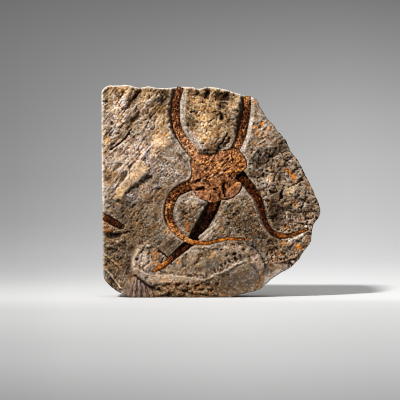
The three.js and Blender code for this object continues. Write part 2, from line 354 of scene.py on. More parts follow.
# Arms, root to tip: u, v, width in steps, level of the top in mm, then the channel: flat gap and
# wall width left and right of the way the arm runs, and how chalky each wall is.
ARMS = {
    "arm_upper_left": [
        (198, 158, 9.5, -0.8, .3, 1.0, .3, 1.5, 0, 0.2), (194, 153, 9.5, -0.9, .3, 1.2, .3, 3.0, .2, 0.9),
        (189.5, 147.5, 9.2, -1.1, .3, 1.3, .3, 4.0, .2, 1), (185, 142, 8.8, -1.2, .3, 1.5, .3, 4.5, .2, 1),
        (180.5, 135, 8.2, -1.4, .4, 2.0, .4, 4.2, .1, 1), (177.5, 128, 8, -1.6, .4, 3.0, .4, 4.0, 0, 1),
        (175.6, 120, 7.5, -1.8, .5, 4.0, .5, 4.0, 0, 1), (175.3, 111, 7.2, -1.9, .6, 4.6, .6, 4.2, 0, 1),
        (176, 101, 6.4, -2.0, 1.2, 4.4, .6, 4.4, 0, 1), (178, 94, 6.0, -2.0, 1.6, 4.2, .6, 4.2, 0, 1),
        (180, 86.6, 5.6, -2.0, 1.8, 4.2, .6, 3.6, 0, 1),
    ],
    "arm_upper_right": [
        (232.5, 156, 8, -0.8, .3, .8, .3, 1.5, .2, .2), (234.5, 150, 8, -1, .3, 1.0, .3, 2.0, .2, .6),
        (238, 143, 8, -1.3, .3, 1.6, .3, 3.0, .3, 1), (241, 136, 8, -1.7, .4, 3.5, .4, 3.2, 0, 1),
        (243, 129, 7.8, -2.0, .8, 5.5, .4, 3.0, 0, 1), (244.6, 121.5, 7.6, -2.1, 1.0, 6.0, .4, 2.8, 0, 1),
        (246, 114, 7.4, -2.1, 1.2, 6.0, .4, 2.8, 0, 1), (246.9, 106, 6.8, -2.0, 1.2, 5.0, .4, 2.8, 0, 1),
        (247.3, 95.6, 6.6, -1.8, 1.0, 3.6, .4, 2.6, 0, 1),
    ],
    "arm_left_loop": [
        (195, 182.5, 10.5, -1.1, .3, 1, .2, 1, 0, 0), (186, 185.8, 10.8, -1.1, .3, 1.2, .3, .9, .2, 1),
        (180, 188.4, 10.5, -1.1, .3, 1.6, .3, .9, .4, 1), (174.3, 193, 10, -1.2, .3, 2.2, .3, .9, .6, 1),
        (170.2, 200, 10, -1.2, .3, 2.6, .3, .9, .7, 1), (168.1, 207, 9.8, -1.2, .3, 2.6, .3, .9, .7, 1),
        (167.6, 214, 9.4, -1.1, .3, 2.6, .3, .9, .7, 1), (169.2, 221, 9, -1.0, .3, 2.8, .3, .9, .7, .9),
        (172.2, 226.5, 8, -0.9, .3, 2.8, .3, .9, .8, .8), (176.3, 231.5, 7, -0.8, .3, 2.6, .3, 1, .8, .8),
        (181.4, 236.4, 6, -0.7, .3, 2.4, .3, 1, .8, .8), (187, 240, 5, -0.5, .3, 1.6, .3, 1.2, .6, .6),
        (193, 242, 4.4, -0.35, .3, 1.2, .2, 1.6, .4, .4), (200, 243, 3.6, -0.3, .2, 1.2, .2, 1.8, .3, .3),
        (208, 243, 3.3, -0.25, .2, 1, .2, 1.6, .2, .2), (215, 241.5, 3, -0.25, .2, 1, .2, 1.4, .1, .1),
        (222, 239.5, 2.8, -0.25, .2, 1, .2, 1.2, 0, 0), (228, 238.6, 2.5, -0.25, .2, 1, .2, 1.2, 0, 0),
        (235, 239, 2.2, -0.3, .2, 1, .2, 1, 0, 0), (244, 239.3, 1.5, -0.4, .2, 1, .2, 1, 0, 0),
    ],
    "arm_lower": [
        (216.5, 195, 10, -1.1, .3, 1.2, .6, 1.2, 0, 0), (214.8, 201, 9.6, -1.4, .4, 1.4, .8, 1.4, 0, 0),
        (212, 208, 9.4, -1.8, .6, 1.8, 1.4, 1.6, .1, 0), (209, 214.5, 9, -2.1, .6, 2.2, 2.0, 2.0, .3, 0),
        (205.5, 221.5, 8.6, -2.4, .5, 3.5, 2.4, 2.2, .9, 0), (201, 229, 8, -2.9, .5, 4.6, 2.6, 2.0, 1, 0),
        (196.5, 235, 7.6, -3.3, .5, 3, 2.2, 1.6, .6, 0), (190.5, 241.5, 7.0, -3.3, .4, 1.6, .6, 1.2, 0, 0),
        (184.5, 246.8, 6.4, -2.4, .4, 1.6, .5, 1.2, .1, 0), (178, 252.2, 6.0, -1.8, .3, 1.6, .4, 1.2, .1, 0),
        (172, 257.6, 5.2, -1.3, .3, 1.2, .4, 1.2, 0, 0), (166, 262.8, 4.4, -0.7, .3, 1.0, .3, 1, 0, 0),
        (159.5, 267.4, 3.6, -0.4, .2, 1.0, .3, 1, 0, 0), (153, 271, 2.2, -0.4, .2, 1.0, .2, 1, 0, 0),
    ],
    "arm_right": [
        (240, 177, 7, -2.6, .6, 1, .6, 1, 0, 0), (244, 180.3, 7.6, -1.9, .5, 1.0, .5, 1.2, 0, 0),
        (248.3, 185, 8, -1.6, .3, 1.4, .3, 1.2, 0, .1), (252.4, 190.5, 7.6, -1.5, .3, 1.8, .3, 1.2, 0, .5),
        (256.6, 196.5, 7, -1.5, .3, 2.0, .3, 1.4, .1, 1), (259.6, 203.5, 6.2, -1.5, .3, 2.0, .3, 1.8, .1, 1),
        (262, 211, 5.8, -1.4, .3, 1.8, .3, 2.0, .2, 1), (264.2, 219, 5.4, -1.2, .3, 2.0, .3, 2.0, .5, 1),
        (267.2, 226, 5.2, -1.1, .3, 2.2, .3, 1.6, .7, 1), (271.6, 231.8, 5.2, -0.9, .3, 2.0, .3, 1.4, .5, .9),
        (278, 235.3, 4.6, -0.8, .3, 1.4, .3, 1.2, .3, .4), (285, 236, 3.6, -0.6, .2, 1.2, .3, 1.2, .2, .2),
        (292, 234.4, 2.9, -0.4, .2, 1, .2, 1.2, .1, .2), (299, 232, 2.4, -0.35, .2, 1, .2, 1.2, 0, .2),
        (307.5, 229, 1.5, -0.35, .2, 1, .2, 1.0, 0, 0),
    ],
    "edge_arm_fragment": [
        (103.3, 216.2, 6, -0.9, .3, 1.2, .3, 1.2, 0, 0), (108.5, 219, 6, -0.9, .3, 1.2, .3, 1.2, 0, 0),
        (114, 222.2, 5.6, -1, .3, 1.2, .3, 1.2, 0, 0), (121, 226.3, 4.2, -1.2, .3, 1.4, .3, 1.4, 0, 0),
    ],
}
ASPECT = 0.82
DISC = [
    (199.5, 154), (203, 153.6), (207, 154.6), (212, 155.2), (217, 153.2), (222, 150.5), (228, 149),
    (233, 147.5), (238.5, 149.5), (241.5, 153.5), (244.6, 157), (246.4, 161.5), (246, 166.5),
    (243.5, 170), (240, 172), (237, 174.5), (235.5, 178), (237.5, 180.8), (240.8, 182.4),
    (241.8, 185.5), (240.5, 189.5), (237, 193.5), (232, 197.5), (227, 199.6), (223, 199),
    (219.8, 200.2), (215, 202), (210, 202), (205, 200), (200, 197.8), (196, 194.5), (193.4, 190),
    (190, 187.5), (187.8, 183.4), (188.6, 180), (191, 176.5), (191.8, 171), (191, 165.5),
    (189.6, 160.5), (192.5, 158.8), (196, 157.6),
]

# ------------------------------------------------------------------------------------------
# relief of the rock face, mm over the mean face
# ------------------------------------------------------------------------------------------
H = np.zeros(UU.shape)
for u, v, ru, rv, lean, amp in SWELLS:
    H += amp * blob(u, v, ru, rv, lean)
H = np.minimum(H, 1.5 + 0.15 * np.tanh(H - 1.5))

M = {}                                   # masks for the colours
for name in ("tan", "dark", "chalk", "orange", "olive", "pale", "pink", "blue"):
    M[name] = np.zeros(UU.shape)

# kinds of rock: bedded and flaky (upper left), crumbly (between the upper arms), finely grained
# (upper right, inside the loop, lower lobe), knobbly and pitted (right), brushed (middle left)
bedded = area([(98, 80), (172, 80), (172, 112), (166, 128), (150, 150), (140, 170), (122, 196), (98, 200)], 5)
grain_left = area([(150, 150), (168, 128), (176, 136), (190, 156), (190, 176), (170, 190), (160, 205), (134, 205), (140, 176)], 5)
crumbly = area([(184, 84), (240, 92), (232, 138), (212, 155), (200, 148), (186, 128)], 3)
fine_ur = area([(250, 98), (282, 130), (288, 142), (262, 148), (244, 156), (250, 130)], 4)
knobbly = area([(252, 146), (290, 144), (322, 205), (310, 248), (290, 270), (262, 262), (262, 240), (286, 232), (266, 222), (260, 190), (248, 175)], 4)
brushed = area([(103, 198), (134, 202), (163, 206), (170, 230), (184, 242), (160, 262), (140, 236), (128, 240), (103, 216)], 5)
lobe = area([(206, 278), (222, 272), (238, 266), (250, 262), (262, 262), (268, 278), (254, 292), (224, 298), (212, 296)], 3)
fan = area([(127, 276), (136, 274), (150, 284), (152, 299), (124, 299)], 2)
rubble = area([(148, 279), (180, 280), (206, 279), (214, 290), (212, 299), (150, 299)], 2.5)
plain = np.clip(1 - bedded - grain_left - crumbly - fine_ur - knobbly - brushed - lobe - fan - rubble, 0, 1)

# how rough each part is: 0 rubbed smooth, 1 as broken
rough_map = np.full(UU.shape, 1.0)
for poly, feather, smooth in (
    ([(172, 124), (160, 150), (140, 162), (112, 172), (104, 168), (120, 156), (138, 142), (150, 130), (164, 120)], 5, 0.60),
    ([(149, 164), (147, 174), (126, 196), (112, 200), (118, 184), (134, 162)], 2, 0.75),
    ([(102, 176), (114, 172), (122, 178), (116, 192), (103, 194)], 4, 0.35),
    ([(163, 140), (190, 158), (190, 176), (168, 186), (150, 180), (150, 160)], 6, 0.15),
    ([(134, 200), (162, 208), (168, 232), (178, 242), (160, 252), (140, 236), (128, 238), (112, 212)], 5, 0.45),
    ([(124, 222), (138, 222), (140, 262), (128, 262)], 4, 0.55),
    ([(104, 240), (128, 240), (128, 290), (108, 282)], 6, 0.25),
    ([(184, 248), (246, 244), (246, 262), (210, 276), (150, 276), (138, 260)], 5, 0.55),
    ([(203, 251), (214, 249), (221, 253), (222, 262), (217, 270), (206, 275), (196, 273), (200, 260)], 2.5, 0.60),
    ([(212, 279), (250, 262), (262, 266), (266, 280), (254, 292), (228, 298), (216, 294)], 3, 0.85),
    ([(128, 276), (150, 283), (154, 299), (126, 299)], 2, 0.80),
    ([(132, 262), (150, 273), (204, 277), (204, 283), (154, 284), (134, 276)], 1.5, 0.75),
    ([(264, 273), (276, 267), (291, 266), (285, 272), (268, 284), (258, 291), (262, 284)], 1.5, 0.80),
    ([(252, 100), (286, 140), (262, 150), (244, 156)], 4, 0.30),
    ([(178, 200), (206, 200), (196, 230), (184, 232)], 4, 0.15),
    ([(222, 204), (256, 200), (262, 236), (222, 238)], 5, 0.15),
):
    rough_map *= 1 - smooth * area(poly, feather)
rough_map *= 0.80 + 0.45 * sstep(-0.4, 0.4, fbm(12, 23, 2))

# broad, unplanned undulation
H += 0.50 * fbm(26, 3, 3)

# bedding: saw-toothed flakes that strike up to the right
warp = 2.4 * fbm(18, 11, 2) + 0.6 * fbm(6, 12, 2)
q = (UU * math.sin(math.radians(50)) + VV * math.cos(math.radians(50)))
saw = np.mod(q / 13.0 + warp, 1.0)
saw = np.where(saw < 0.80, saw / 0.80, (1 - saw) / 0.20)
saw2 = np.mod(q / 6.1 + 1.7 * warp, 1.0)
saw2 = np.where(saw2 < 0.78, saw2 / 0.78, (1 - saw2) / 0.22)
H += bedded * (0.60 * (saw - 0.5) * sstep(-0.3, 0.3, fbm(16, 17, 2)) + 0.38 * (saw2 - 0.5) * sstep(-0.1, 0.4, fbm(12, 18, 2))
               + 0.50 * aniso(22, 6.5, 50, 21, 3, ridged=True) - 0.1)
H += (0.55 * grain_left + 0.45 * brushed + 0.30 * plain) * aniso(17, 5.5, 45, 25, 3)


# broken ground at several sizes, drawn out along the strike on the left
def broken(weight, size, seed, long, lean, tip, joint=0.12, jitter=0.35):
    h, gap, who = facets(size, seed, long, lean)
    k = size * STEP
    open_ = 1 - sstep(0.0, 0.16, gap)
    H[:] += weight * k * (tip * h + jitter * (who - 0.5) - joint * open_)


flaky = np.clip(bedded + 0.8 * grain_left, 0, 1)
lumpy = np.clip(knobbly + 0.7 * crumbly + 0.8 * rubble, 0, 1)
quiet = np.clip(1 - 0.8 * lobe - 0.5 * fan - 0.25 * fine_ur, 0, 1)
patch = 0.55 + 0.9 * sstep(-0.35, 0.45, fbm(15, 18, 2))
patch *= 1 - 0.85 * blob(271, 260, 13, 7, -10)
patch2 = 0.45 + 1.1 * sstep(-0.3, 0.4, fbm(8, 19, 2))
broken((0.42 * flaky + 0.35 * plain + 0.45 * fine_ur) * patch, 10.0, 351, 2.2, 50, 0.30, 0.05, 0.22)
broken((0.46 * flaky + 0.30 * plain) * patch * rough_map, 5.6, 301, 2.3, 48, 0.45, 0.07, 0.25)
broken((0.42 * flaky + 0.68 * brushed + 0.35 * plain + 0.80 * fine_ur) * patch2 * rough_map, 3.2, 311, 2.4, 44, 0.55, 0.08, 0.30)
broken((1.00 * lumpy + 0.35 * plain) * patch, 8.0, 321, 1.3, 30, 0.42, 0.08, 0.28)
broken((0.85 * lumpy + 0.45 * plain + 0.15 * flaky) * patch2 * rough_map, 4.3, 331, 1.3, 20, 0.60, 0.10, 0.35)
broken(quiet * (0.28 - 0.08 * flaky + 0.42 * lumpy) * patch2 * rough_map, 2.2, 341, 1.6, 42, 0.75, 0.10, 0.40)
pits = sstep(0.30, 0.0, cells(6.5, 43)[0]) * sstep(0.1, 0.5, fbm(18, 44, 2) + 0.3)
H -= (knobbly * 1.2 + crumbly * 0.8 + plain * 0.3 + bedded * 0.35 + rubble * 0.6) * pits
small_pits = sstep(0.32, 0.05, cells(3.1, 45)[0]) * sstep(0.05, 0.5, fbm(9, 46, 2) + 0.15)
H -= (0.30 + 0.30 * lumpy) * quiet * small_pits * rough_map

# brushed ground: short parallel scratches up to the right
H += brushed * (0.26 * aniso(8, 1.9, 42, 51, 2) + 0.34 * aniso(13, 4.5, 48, 53, 2, ridged=True)) + 0.20 * brushed * fbm(5, 55, 2)
H += fine_ur * (0.50 * aniso(9, 1.9, 36, 57, 2) + 0.42 * fbm(4, 58, 2) + 0.16 * aniso(12, 3.5, 46, 59, 2, ridged=True)) + lobe * (0.20 * fbm(5, 61, 3) + 0.12 * aniso(8, 2.6, 42, 62, 2))
H += plain * (0.40 * fbm(8, 63, 3) + 0.20 * aniso(9, 2.8, 40, 64, 2))
H += flaky * (0.20 * aniso(9, 1.8, 48, 65, 2) + 0.22 * aniso(13, 2.8, 45, 67, 2, ridged=True))

# grain everywhere
H += (0.08 + 0.14 * quiet * rough_map) * (1.6 - 0.7 * flaky) * fbm(2.5, 71, 2, 0.6)


# ---- patches: where the face stands proud or is hollowed, paler or darker and stained; the darkening of the hollowed ones is partly painted shade ---
# u, v, half-length, half-width, lean, tone, what it is stained with, how much, relief in mm
PATCHES = [
    # upper left
    (108, 101, 7, 11, 0, 0.14, "tan", 0.4, 0), (121, 101, 15, 4.4, -62, 0.26, "tan", 0.4, 0.45), (136, 96, 10, 3.0, -60, -0.42, "olive", 0.3, -0.9),
    (146, 101, 5, 8, 0, 0.14, "tan", 0.4, 0.2), (160, 105, 13, 4.6, -65, -0.45, "olive", 0.5, -0.9), (164, 120, 6, 8, 0, 0.18, "tan", 0.8, 0.35),
    (132, 121, 11, 2.6, -56, -0.36, None, 0, -0.7), (117, 121, 18, 4, -60, 0.15, "pale", 0.2, 0.4), (160, 141, 10, 6, -30, 0.24, "tan", 0.8, 0.5),
    (136, 150, 17, 7.5, -25, 0.22, "pink", 0.25, 0.35), (109, 150, 6, 11, 0, 0.08, None, 0, 0), (139, 170, 8, 6.5, -50, 0.14, "tan", 1.0, 0.3),
    (123, 186, 10, 4.6, -62, 0.10, "tan", 0.9, 0.2), (145, 179, 7, 3.6, -40, -0.34, None, 0, -0.7), (134, 188, 8, 3.6, -40, -0.34, None, 0, -0.7),
    (109, 177, 6, 4.5, 0, -0.34, "olive", 0.6, -0.6), (154, 182, 5, 4, -30, -0.18, None, 0, -0.4), (172, 166, 12, 11, 0, 0.13, "blue", 0.10, 0.1),
    (165, 193, 4, 9, 20, -0.26, None, 0, -0.2), (125, 206, 7, 6.5, 0, -0.34, None, 0, -0.5), (157, 214, 8, 10, 0, 0.10, None, 0, 0.1),
    (167, 230, 3.5, 5, 0, 0.06, "tan", 0.7, 0), (107, 227, 5, 4, 0, 0.10, "tan", 0.5, 0), (115, 235, 6, 2.6, 0, -0.45, None, 0, -0.5),
    (128, 96, 4, 3, 0, 0.12, "tan", 0.5, 0.2), (150, 125, 9, 5, -50, 0.10, "tan", 0.5, 0.2), (112, 136, 5, 7, 0, -0.12, None, 0, -0.2),
    (140, 205, 9, 6, 0, -0.12, None, 0, -0.2), (172, 106, 3, 6, 0, 0.06, "tan", 0.5, 0.1),
    # between the upper arms
    (204, 128, 9, 15, 0, 0.33, "tan", 1.0, 0.3), (195, 102, 7, 8, 0, 0.06, "tan", 0.7, 0.2), (206, 94, 5, 3.0, -70, -0.60, "olive", 0.4, -1.1),
    (223, 96, 7, 4.3, 0, -0.62, "olive", 0.4, -1.2), (222, 105, 4.5, 5, 0, -0.36, "olive", 0.5, -0.6), (221.5, 116, 3.2, 3.4, 0, -0.70, None, 0, -1.3),
    (192, 122, 7, 4.6, 0, -0.34, "olive", 0.3, -0.6), (234, 106, 9, 4.6, -65, 0.16, "pale", 0.35, 0.2), (230, 122, 5, 8, 0, -0.04, "blue", 0.3, 0),
    (217, 146, 8, 4.6, -50, -0.52, None, 0, -0.9), (207, 152, 8, 3.0, 0, -0.5, None, 0, -0.6), (195, 144, 6, 4.6, -45, 0.26, "chalk", 0.45, 0),
    # right
    (260, 130, 8, 12, -20, 0.08, "tan", 0.35, 0), (268, 136, 6, 6, 0, 0.06, "pink", 0.5, 0.1), (282, 146, 7, 6, -50, -0.42, "olive", 0.4, -0.6),
    (268, 157, 4.5, 4, 0, -0.55, None, 0, -0.9), (258, 163, 7, 4, 0, -0.36, None, 0, -0.6), (254, 174, 9, 4.5, 0, -0.34, None, 0, -0.5),
    (267, 183, 5.5, 3.6, 0, 0.26, "blue", 0.25, 0.5), (290, 190, 5, 4.6, 0, 0.32, "tan", 0.7, 0.5), (305, 193, 4, 4, 0, 0.16, "pink", 0.5, 0.2),
    (279.5, 172, 2.4, 9, 0, -0.34, None, 0, -0.6), (262, 195, 7, 6, 0, 0.05, None, 0, 0), (276, 213, 6.5, 11, 10, -0.40, "olive", 0.4, -0.6),
    (271, 204, 3.4, 3.2, 0, -0.3, None, 0, -0.4), (293, 211, 5, 1.6, 5, -0.4, None, 0, -0.5), (294, 219, 7, 5, 0, 0.10, "pink", 0.5, 0.2),
    (262, 233.5, 6, 2.6, 10, -0.5, None, 0, -0.5), (268, 246, 13, 7, 0, -0.28, "olive", 0.5, -0.3), (289, 243, 6, 6, 0, 0.16, "pink", 0.3, 0.3),
    (279, 261, 11, 6, -20, 0.04, "pink", 0.45, 0), (269, 270, 6, 5, -40, -0.34, "blue", 0.4, -0.3), (243, 208, 6, 8, 0, 0.20, None, 0, 0.2),
    (236, 224, 9, 9, 0, -0.08, None, 0, 0), (258, 261, 4, 7, -20, 0.18, "pink", 0.4, 0.2), (300, 178, 6, 9, -30, 0.05, "tan", 0.35, 0),
    (228, 210, 6, 4, 0, -0.10, None, 0, -0.2), (253, 220, 6, 9, 0, -0.12, "olive", 0.3, -0.1),
    # bottom and inside the loop
    (140, 259, 7, 9, 0, 0.42, "pink", 0.35, 0.3), (171, 247, 11, 6.5, -20, -0.30, "olive", 0.8, -0.3), (155, 256, 3.4, 3, 0, 0.0, "blue", 0.6, 0),
    (170, 278, 30, 4.0, 0, 0.16, "pink", 0.2, 0), (228, 269, 24, 2.2, -24, 0.10, None, 0, 0), (182, 289, 36, 5, 0, -0.04, None, 0, -0.2),
    (194, 255, 5, 7, 20, 0.12, "olive", 0.55, 0.2), (232, 255, 4.5, 6, 20, -0.30, None, 0, -0.4), 
    (240, 246, 8, 3.4, 10, 0.16, "pink", 0.3, 0.2), (178, 296.4, 52, 1.8, 0, -0.45, None, 0, 0), (133, 284, 6, 8, -10, 0.10, "pink", 0.6, 0.1),
    (192, 202, 8, 6.5, -30, 0.34, "pale", 0.3, 0.45), (183, 212, 3, 2.4, 0, -0.5, None, 0, -0.9), (184, 222, 6, 8, 0, -0.06, "olive", 0.4, -0.1),
    (210, 240, 12, 1.6, -3, -0.2, "olive", 0.4, 0), (230, 233, 8, 3, -10, 0.06, "tan", 0.3, 0),
]
SU = 1.5 * perlin(UU / 5.3, VV / 5.3, 63) + 0.8 * perlin(UU / 2.3, VV / 2.3, 64)
SV = 1.5 * perlin(UU / 5.3, VV / 5.3, 65) + 0.8 * perlin(UU / 2.3, VV / 2.3, 66)
tone = np.full(UU.shape, 1.0)
_U, _V = UU, VV
for u, v, ru, rv, lean, tn, stain_, much, dh in PATCHES:
    k = min(1.0, rv / 4.0)
    c, s_ = math.cos(math.radians(lean)), math.sin(math.radians(lean))
    du, dv = UU - u + SU * k, VV - v + SV * k
    m = np.exp(-(0.8 * (((du * c + dv * s_) / ru) ** 2 + ((-du * s_ + dv * c) / rv) ** 2)) ** 1.4)
    tone += tn * m
    H += 1.15 * dh * m
    if stain_:
        M[stain_][:] = np.maximum(M[stain_], much * m)


# ---- named features -----------------------------------------------------------------------
def ends(t, run=0.12):
    return sstep(0, run, t) * sstep(0, run, 1 - t)


# A raised line with the given mask painted along its crest; pale there is partly the rock's colour, partly painted
# highlight on the crest.
def ridge(pts, width, amp, wobble=0.35, mask=None, amount=1.0, taper=0.12):
    tr = Track([(p[0], p[1]) for p in pts], width * 3 + 2)
    n = (perlin(tr.u / 5.1, tr.v / 5.1, 5) * 1.5 + perlin(tr.u / 2.2, tr.v / 2.2, 6)) * wobble
    lump = 0.75 + 0.55 * perlin(tr.u / 2.6, tr.v / 2.6, 7)
    f = np.exp(-((tr.d * tr.side + n * width) / (width * (0.85 + 0.3 * lump))) ** 2) * ends(tr.t, taper) * lump
    H[tr.sl] += amp * f
    if mask:
        M[mask][tr.sl] = np.maximum(M[mask][tr.sl], amount * f)


# A crack cut in; unless mask is False it is painted darker along the cut, painted shade in the crack.
def crack(pts, width, depth, mask=True, wobble=0.5, taper=0.1):
    tr = Track([(p[0], p[1]) for p in pts], width * 3 + 3)
    n = (perlin(tr.u / 4.1, tr.v / 4.1, 8) * 1.6 + perlin(tr.u / 2.0, tr.v / 2.0, 9)) * wobble
    wide = width * (0.75 + 0.7 * perlin(tr.u / 3.3, tr.v / 3.3, 10))
    f = (1 - sstep(wide * 0.2, np.maximum(wide, 0.3), np.abs(tr.d * tr.side + n))) * ends(tr.t, taper)
    H[tr.sl] -= depth * f
    if mask:
        M["dark"][tr.sl] = np.maximum(M["dark"][tr.sl], 0.45 * f)


def step(pts, rise, reach, sharp=0.5, side=1, lip=0.0, mask=None, amount=1.0, taper=0.15):
    """A ledge: the ground on one side (+1 right of the way the line runs) stands higher, falling off over `reach`. A
    mask given is painted along the edge; pale there is partly painted highlight on the edge.
    """
    tr = Track([(p[0], p[1]) for p in pts], reach * 1.6 + 2)
    s = tr.d * tr.side * side + 0.8 * perlin(tr.u / 3.4, tr.v / 3.4, 13)
    f = sstep(-sharp, sharp, s) * np.exp(-(np.maximum(s, 0) / reach) ** 2) * ends(tr.t, taper)
    H[tr.sl] += rise * f
    if lip:
        H[tr.sl] += lip * np.exp(-((s - sharp) / 1.1) ** 2) * ends(tr.t, taper)
    if mask:
        M[mask][tr.sl] = np.maximum(M[mask][tr.sl], amount * np.exp(-((s - sharp * 0.3) / 1.3) ** 2) * ends(tr.t, taper))


# A sunken patch with a mask painted over it; the dark mask, the default, is painted shade in the hollow.
def hollow(poly, depth, feather=1.2, mask="dark", amount=0.6):
    m = area(poly, feather, 1.4)
    H[:] -= depth * m
    if mask:
        M[mask][:] = np.maximum(M[mask], 0.55 * amount * m)


def pock(u, v, ru, rv, lean, depth, amount):
    """A small hole with a ragged edge, painted darker with the dark mask: painted shade in the hole."""
    c, s_ = math.cos(math.radians(lean)), math.sin(math.radians(lean))
    du, dv = UU - u + 0.55 * FRAY, VV - v + 0.40 * np.roll(FRAY, 40, 1)
    r = np.sqrt(((du * c - dv * s_) / ru) ** 2 + ((du * s_ + dv * c) / rv) ** 2)
    m = 1 - sstep(0.45, 1.35, r)
    H[:] -= depth * m
    M["dark"][:] = np.maximum(M["dark"], amount * m)


def table(poly, rise, feather=1.0, mask=None, amount=1.0):
    m = area(poly, feather)
    H[:] += rise * m
    if mask:
        M[mask][:] = np.maximum(M[mask], amount * m)
    return m


tone_spots = [(206, 262, 14, 9, -0.10), (174, 268, 12, 5, -0.06), (192, 254, 3.6, 6, 0.12)]

# upper left: stepped beds
step([(146, 82), (141, 90), (135, 98), (128, 107), (121, 116)], 1.15, 15, 0.8, -1, 0.25)
hollow([(141, 86), (147, 90), (141, 99), (133, 107), (128, 110), (127, 105), (133, 97)], 0.9, 1.6, "dark", 0.35)
ridge([(142, 98), (137, 104), (130, 112), (124, 119), (118, 127), (114, 134), (111, 141)], 1.7, 0.9, mask="pale", amount=0.9)
hollow([(139, 112), (141, 116), (134, 123), (128, 126), (127, 122), (133, 116)], 0.8, 1.3, "dark", 0.55)
crack([(132.6, 127), (130, 130.4), (127.6, 134), (124, 138), (121.6, 141.6), (117.4, 144), (113.4, 147), (109, 150)], 1.5, 1.9)
step([(140, 128), (131, 134), (123, 141), (114, 149)], 0.7, 9, 0.6, -1)
ridge([(160, 118), (150, 128), (142, 137), (134, 146), (126, 152)], 1.6, 0.45, mask="pale", amount=0.5)
ridge([(156, 141), (148, 149), (141, 157), (134, 164)], 1.3, 0.5, mask="pale", amount=0.7)
crack([(160, 150), (156, 154)], 1.0, 0.8)
hollow([(146, 104), (152, 102), (158, 108), (154, 117), (147, 118)], 0.7, 1.6, "dark", 0.35)
hollow([(160, 89), (170, 88), (168, 100), (163, 104), (158, 100)], 1.0, 1.6, "dark", 0.45)
hollow([(163, 104), (168, 104), (167, 113), (162, 114)], 0.6, 1.2, "dark", 0.3)
# small dimples, dug in and painted dark: painted shade
for u, v in ((107, 101), (107, 108), (112, 123), (118, 96), (124, 92)):
    H -= 0.8 * blob(u, v, 2.4, 1.6, 30)
    M["dark"][:] = np.maximum(M["dark"], 0.4 * blob(u, v, 2.2, 1.6, 30))
table([(152, 134), (160, 128), (170, 130), (172, 140), (164, 150), (156, 158), (149, 158), (150, 146)], 0.5, 2.0, "tan", 0.8)
step([(104, 163), (112, 163), (120, 162), (127, 163)], 0.5, 7, 0.5, -1, 0.15, "pale", 0.6)
step([(117, 173), (123, 172), (130, 171)], 0.4, 5, 0.5, -1, 0.1, "pale", 0.6)
step([(104, 187), (112, 188), (118, 186)], 0.4, 5, 0.5, -1, 0.1, "pale", 0.4)
# the raised beige strip, left of the middle
strip = [(146, 165), (149, 168), (147, 172), (143, 176), (138, 180), (134, 183), (129, 187), (125, 192),
         (121, 199), (114, 199), (117, 190), (120, 184), (126, 176), (131, 167), (137, 160), (142, 160)]
table(strip, 1.25, 0.9, "tan", 1.0)
M["pale"][:] = np.maximum(M["pale"], 0.15 * area(strip, 1.5))
tone_spots += [(134, 180, 9, 9, 0.10), (124, 192, 5, 6, 0.10)]
hollow([(148, 173), (151, 177), (144, 183), (139, 181), (144, 177)], 0.8, 1.2, "dark", 0.6)
hollow([(136, 182), (139, 185), (131, 190), (125, 196), (124, 192), (130, 187)], 0.8, 1.2, "dark", 0.6)
hollow([(119, 174), (127, 170), (131, 172), (124, 180), (117, 184), (113, 182)], 0.7, 1.6, "dark", 0.35)
hollow([(127, 165), (131, 163), (132, 167), (128, 169)], 0.6, 1.0, "dark", 0.35)

# between the upper arms
hollow([(205.5, 89), (210, 90), (208.5, 99), (203.5, 98)], 1.1, 0.9, "dark", 0.5)
hollow([(215, 92), (229, 92.5), (229, 100), (222, 101), (215, 100)], 1.5, 1.1, "dark", 0.5)
hollow([(220, 101), (227, 101), (225, 108), (218, 109)], 0.9, 1.0, "dark", 0.4)
hollow([(220, 112), (224, 113), (223, 119), (220, 119)], 1.5, 0.8, "dark", 0.8)
hollow([(214, 114), (218, 114), (218, 118), (214, 118)], 0.7, 0.9, "dark", 0.4)
hollow([(224, 113), (228, 113), (227, 117), (224, 117)], 0.8, 0.8, "dark", 0.5)
hollow([(184, 116), (190, 117), (198, 121), (198, 127), (192, 129), (186, 126)], 0.6, 1.6, "dark", 0.5)
hollow([(184, 128), (188, 128), (190, 134), (186, 134)], 0.5, 1.0, "dark", 0.4)
step([(232, 92), (231, 100), (229, 110), (226, 120), (224, 128)], 0.4, 5, 0.5, 1, 0.15)
for dy in (0, 5.5, 10):
    ridge([(212 + dy * 0.5, 150 - dy * .7), (218 + dy * .5, 142 - dy * .7), (225 + dy * .3, 132 - dy * .5)], 1.1, 0.6, mask="pale", amount=0.4)
    crack([(214.5 + dy * 0.5, 151.5 - dy * .7), (220.5 + dy * .5, 143.5 - dy * .7), (226 + dy * .3, 134 - dy * .5)], 1.3, 0.9)
hollow([(199, 149), (205, 152.5), (212, 153.5), (218, 149), (224, 142), (229, 137), (230, 141), (223, 149), (214, 156), (203, 155)], 1.6, 1.0, "dark", 0.75)
ridge([(206, 141), (211, 143), (216, 141)], 1.1, 0.6, mask="pale", amount=0.9)
hollow([(227, 136), (232, 134), (234, 141), (229, 148), (224, 147)], 0.5, 1.0, "dark", 0.3)
ridge([(227, 149), (230, 145.5), (234, 143)], 1.2, 0.6, mask="chalk", amount=0.9)

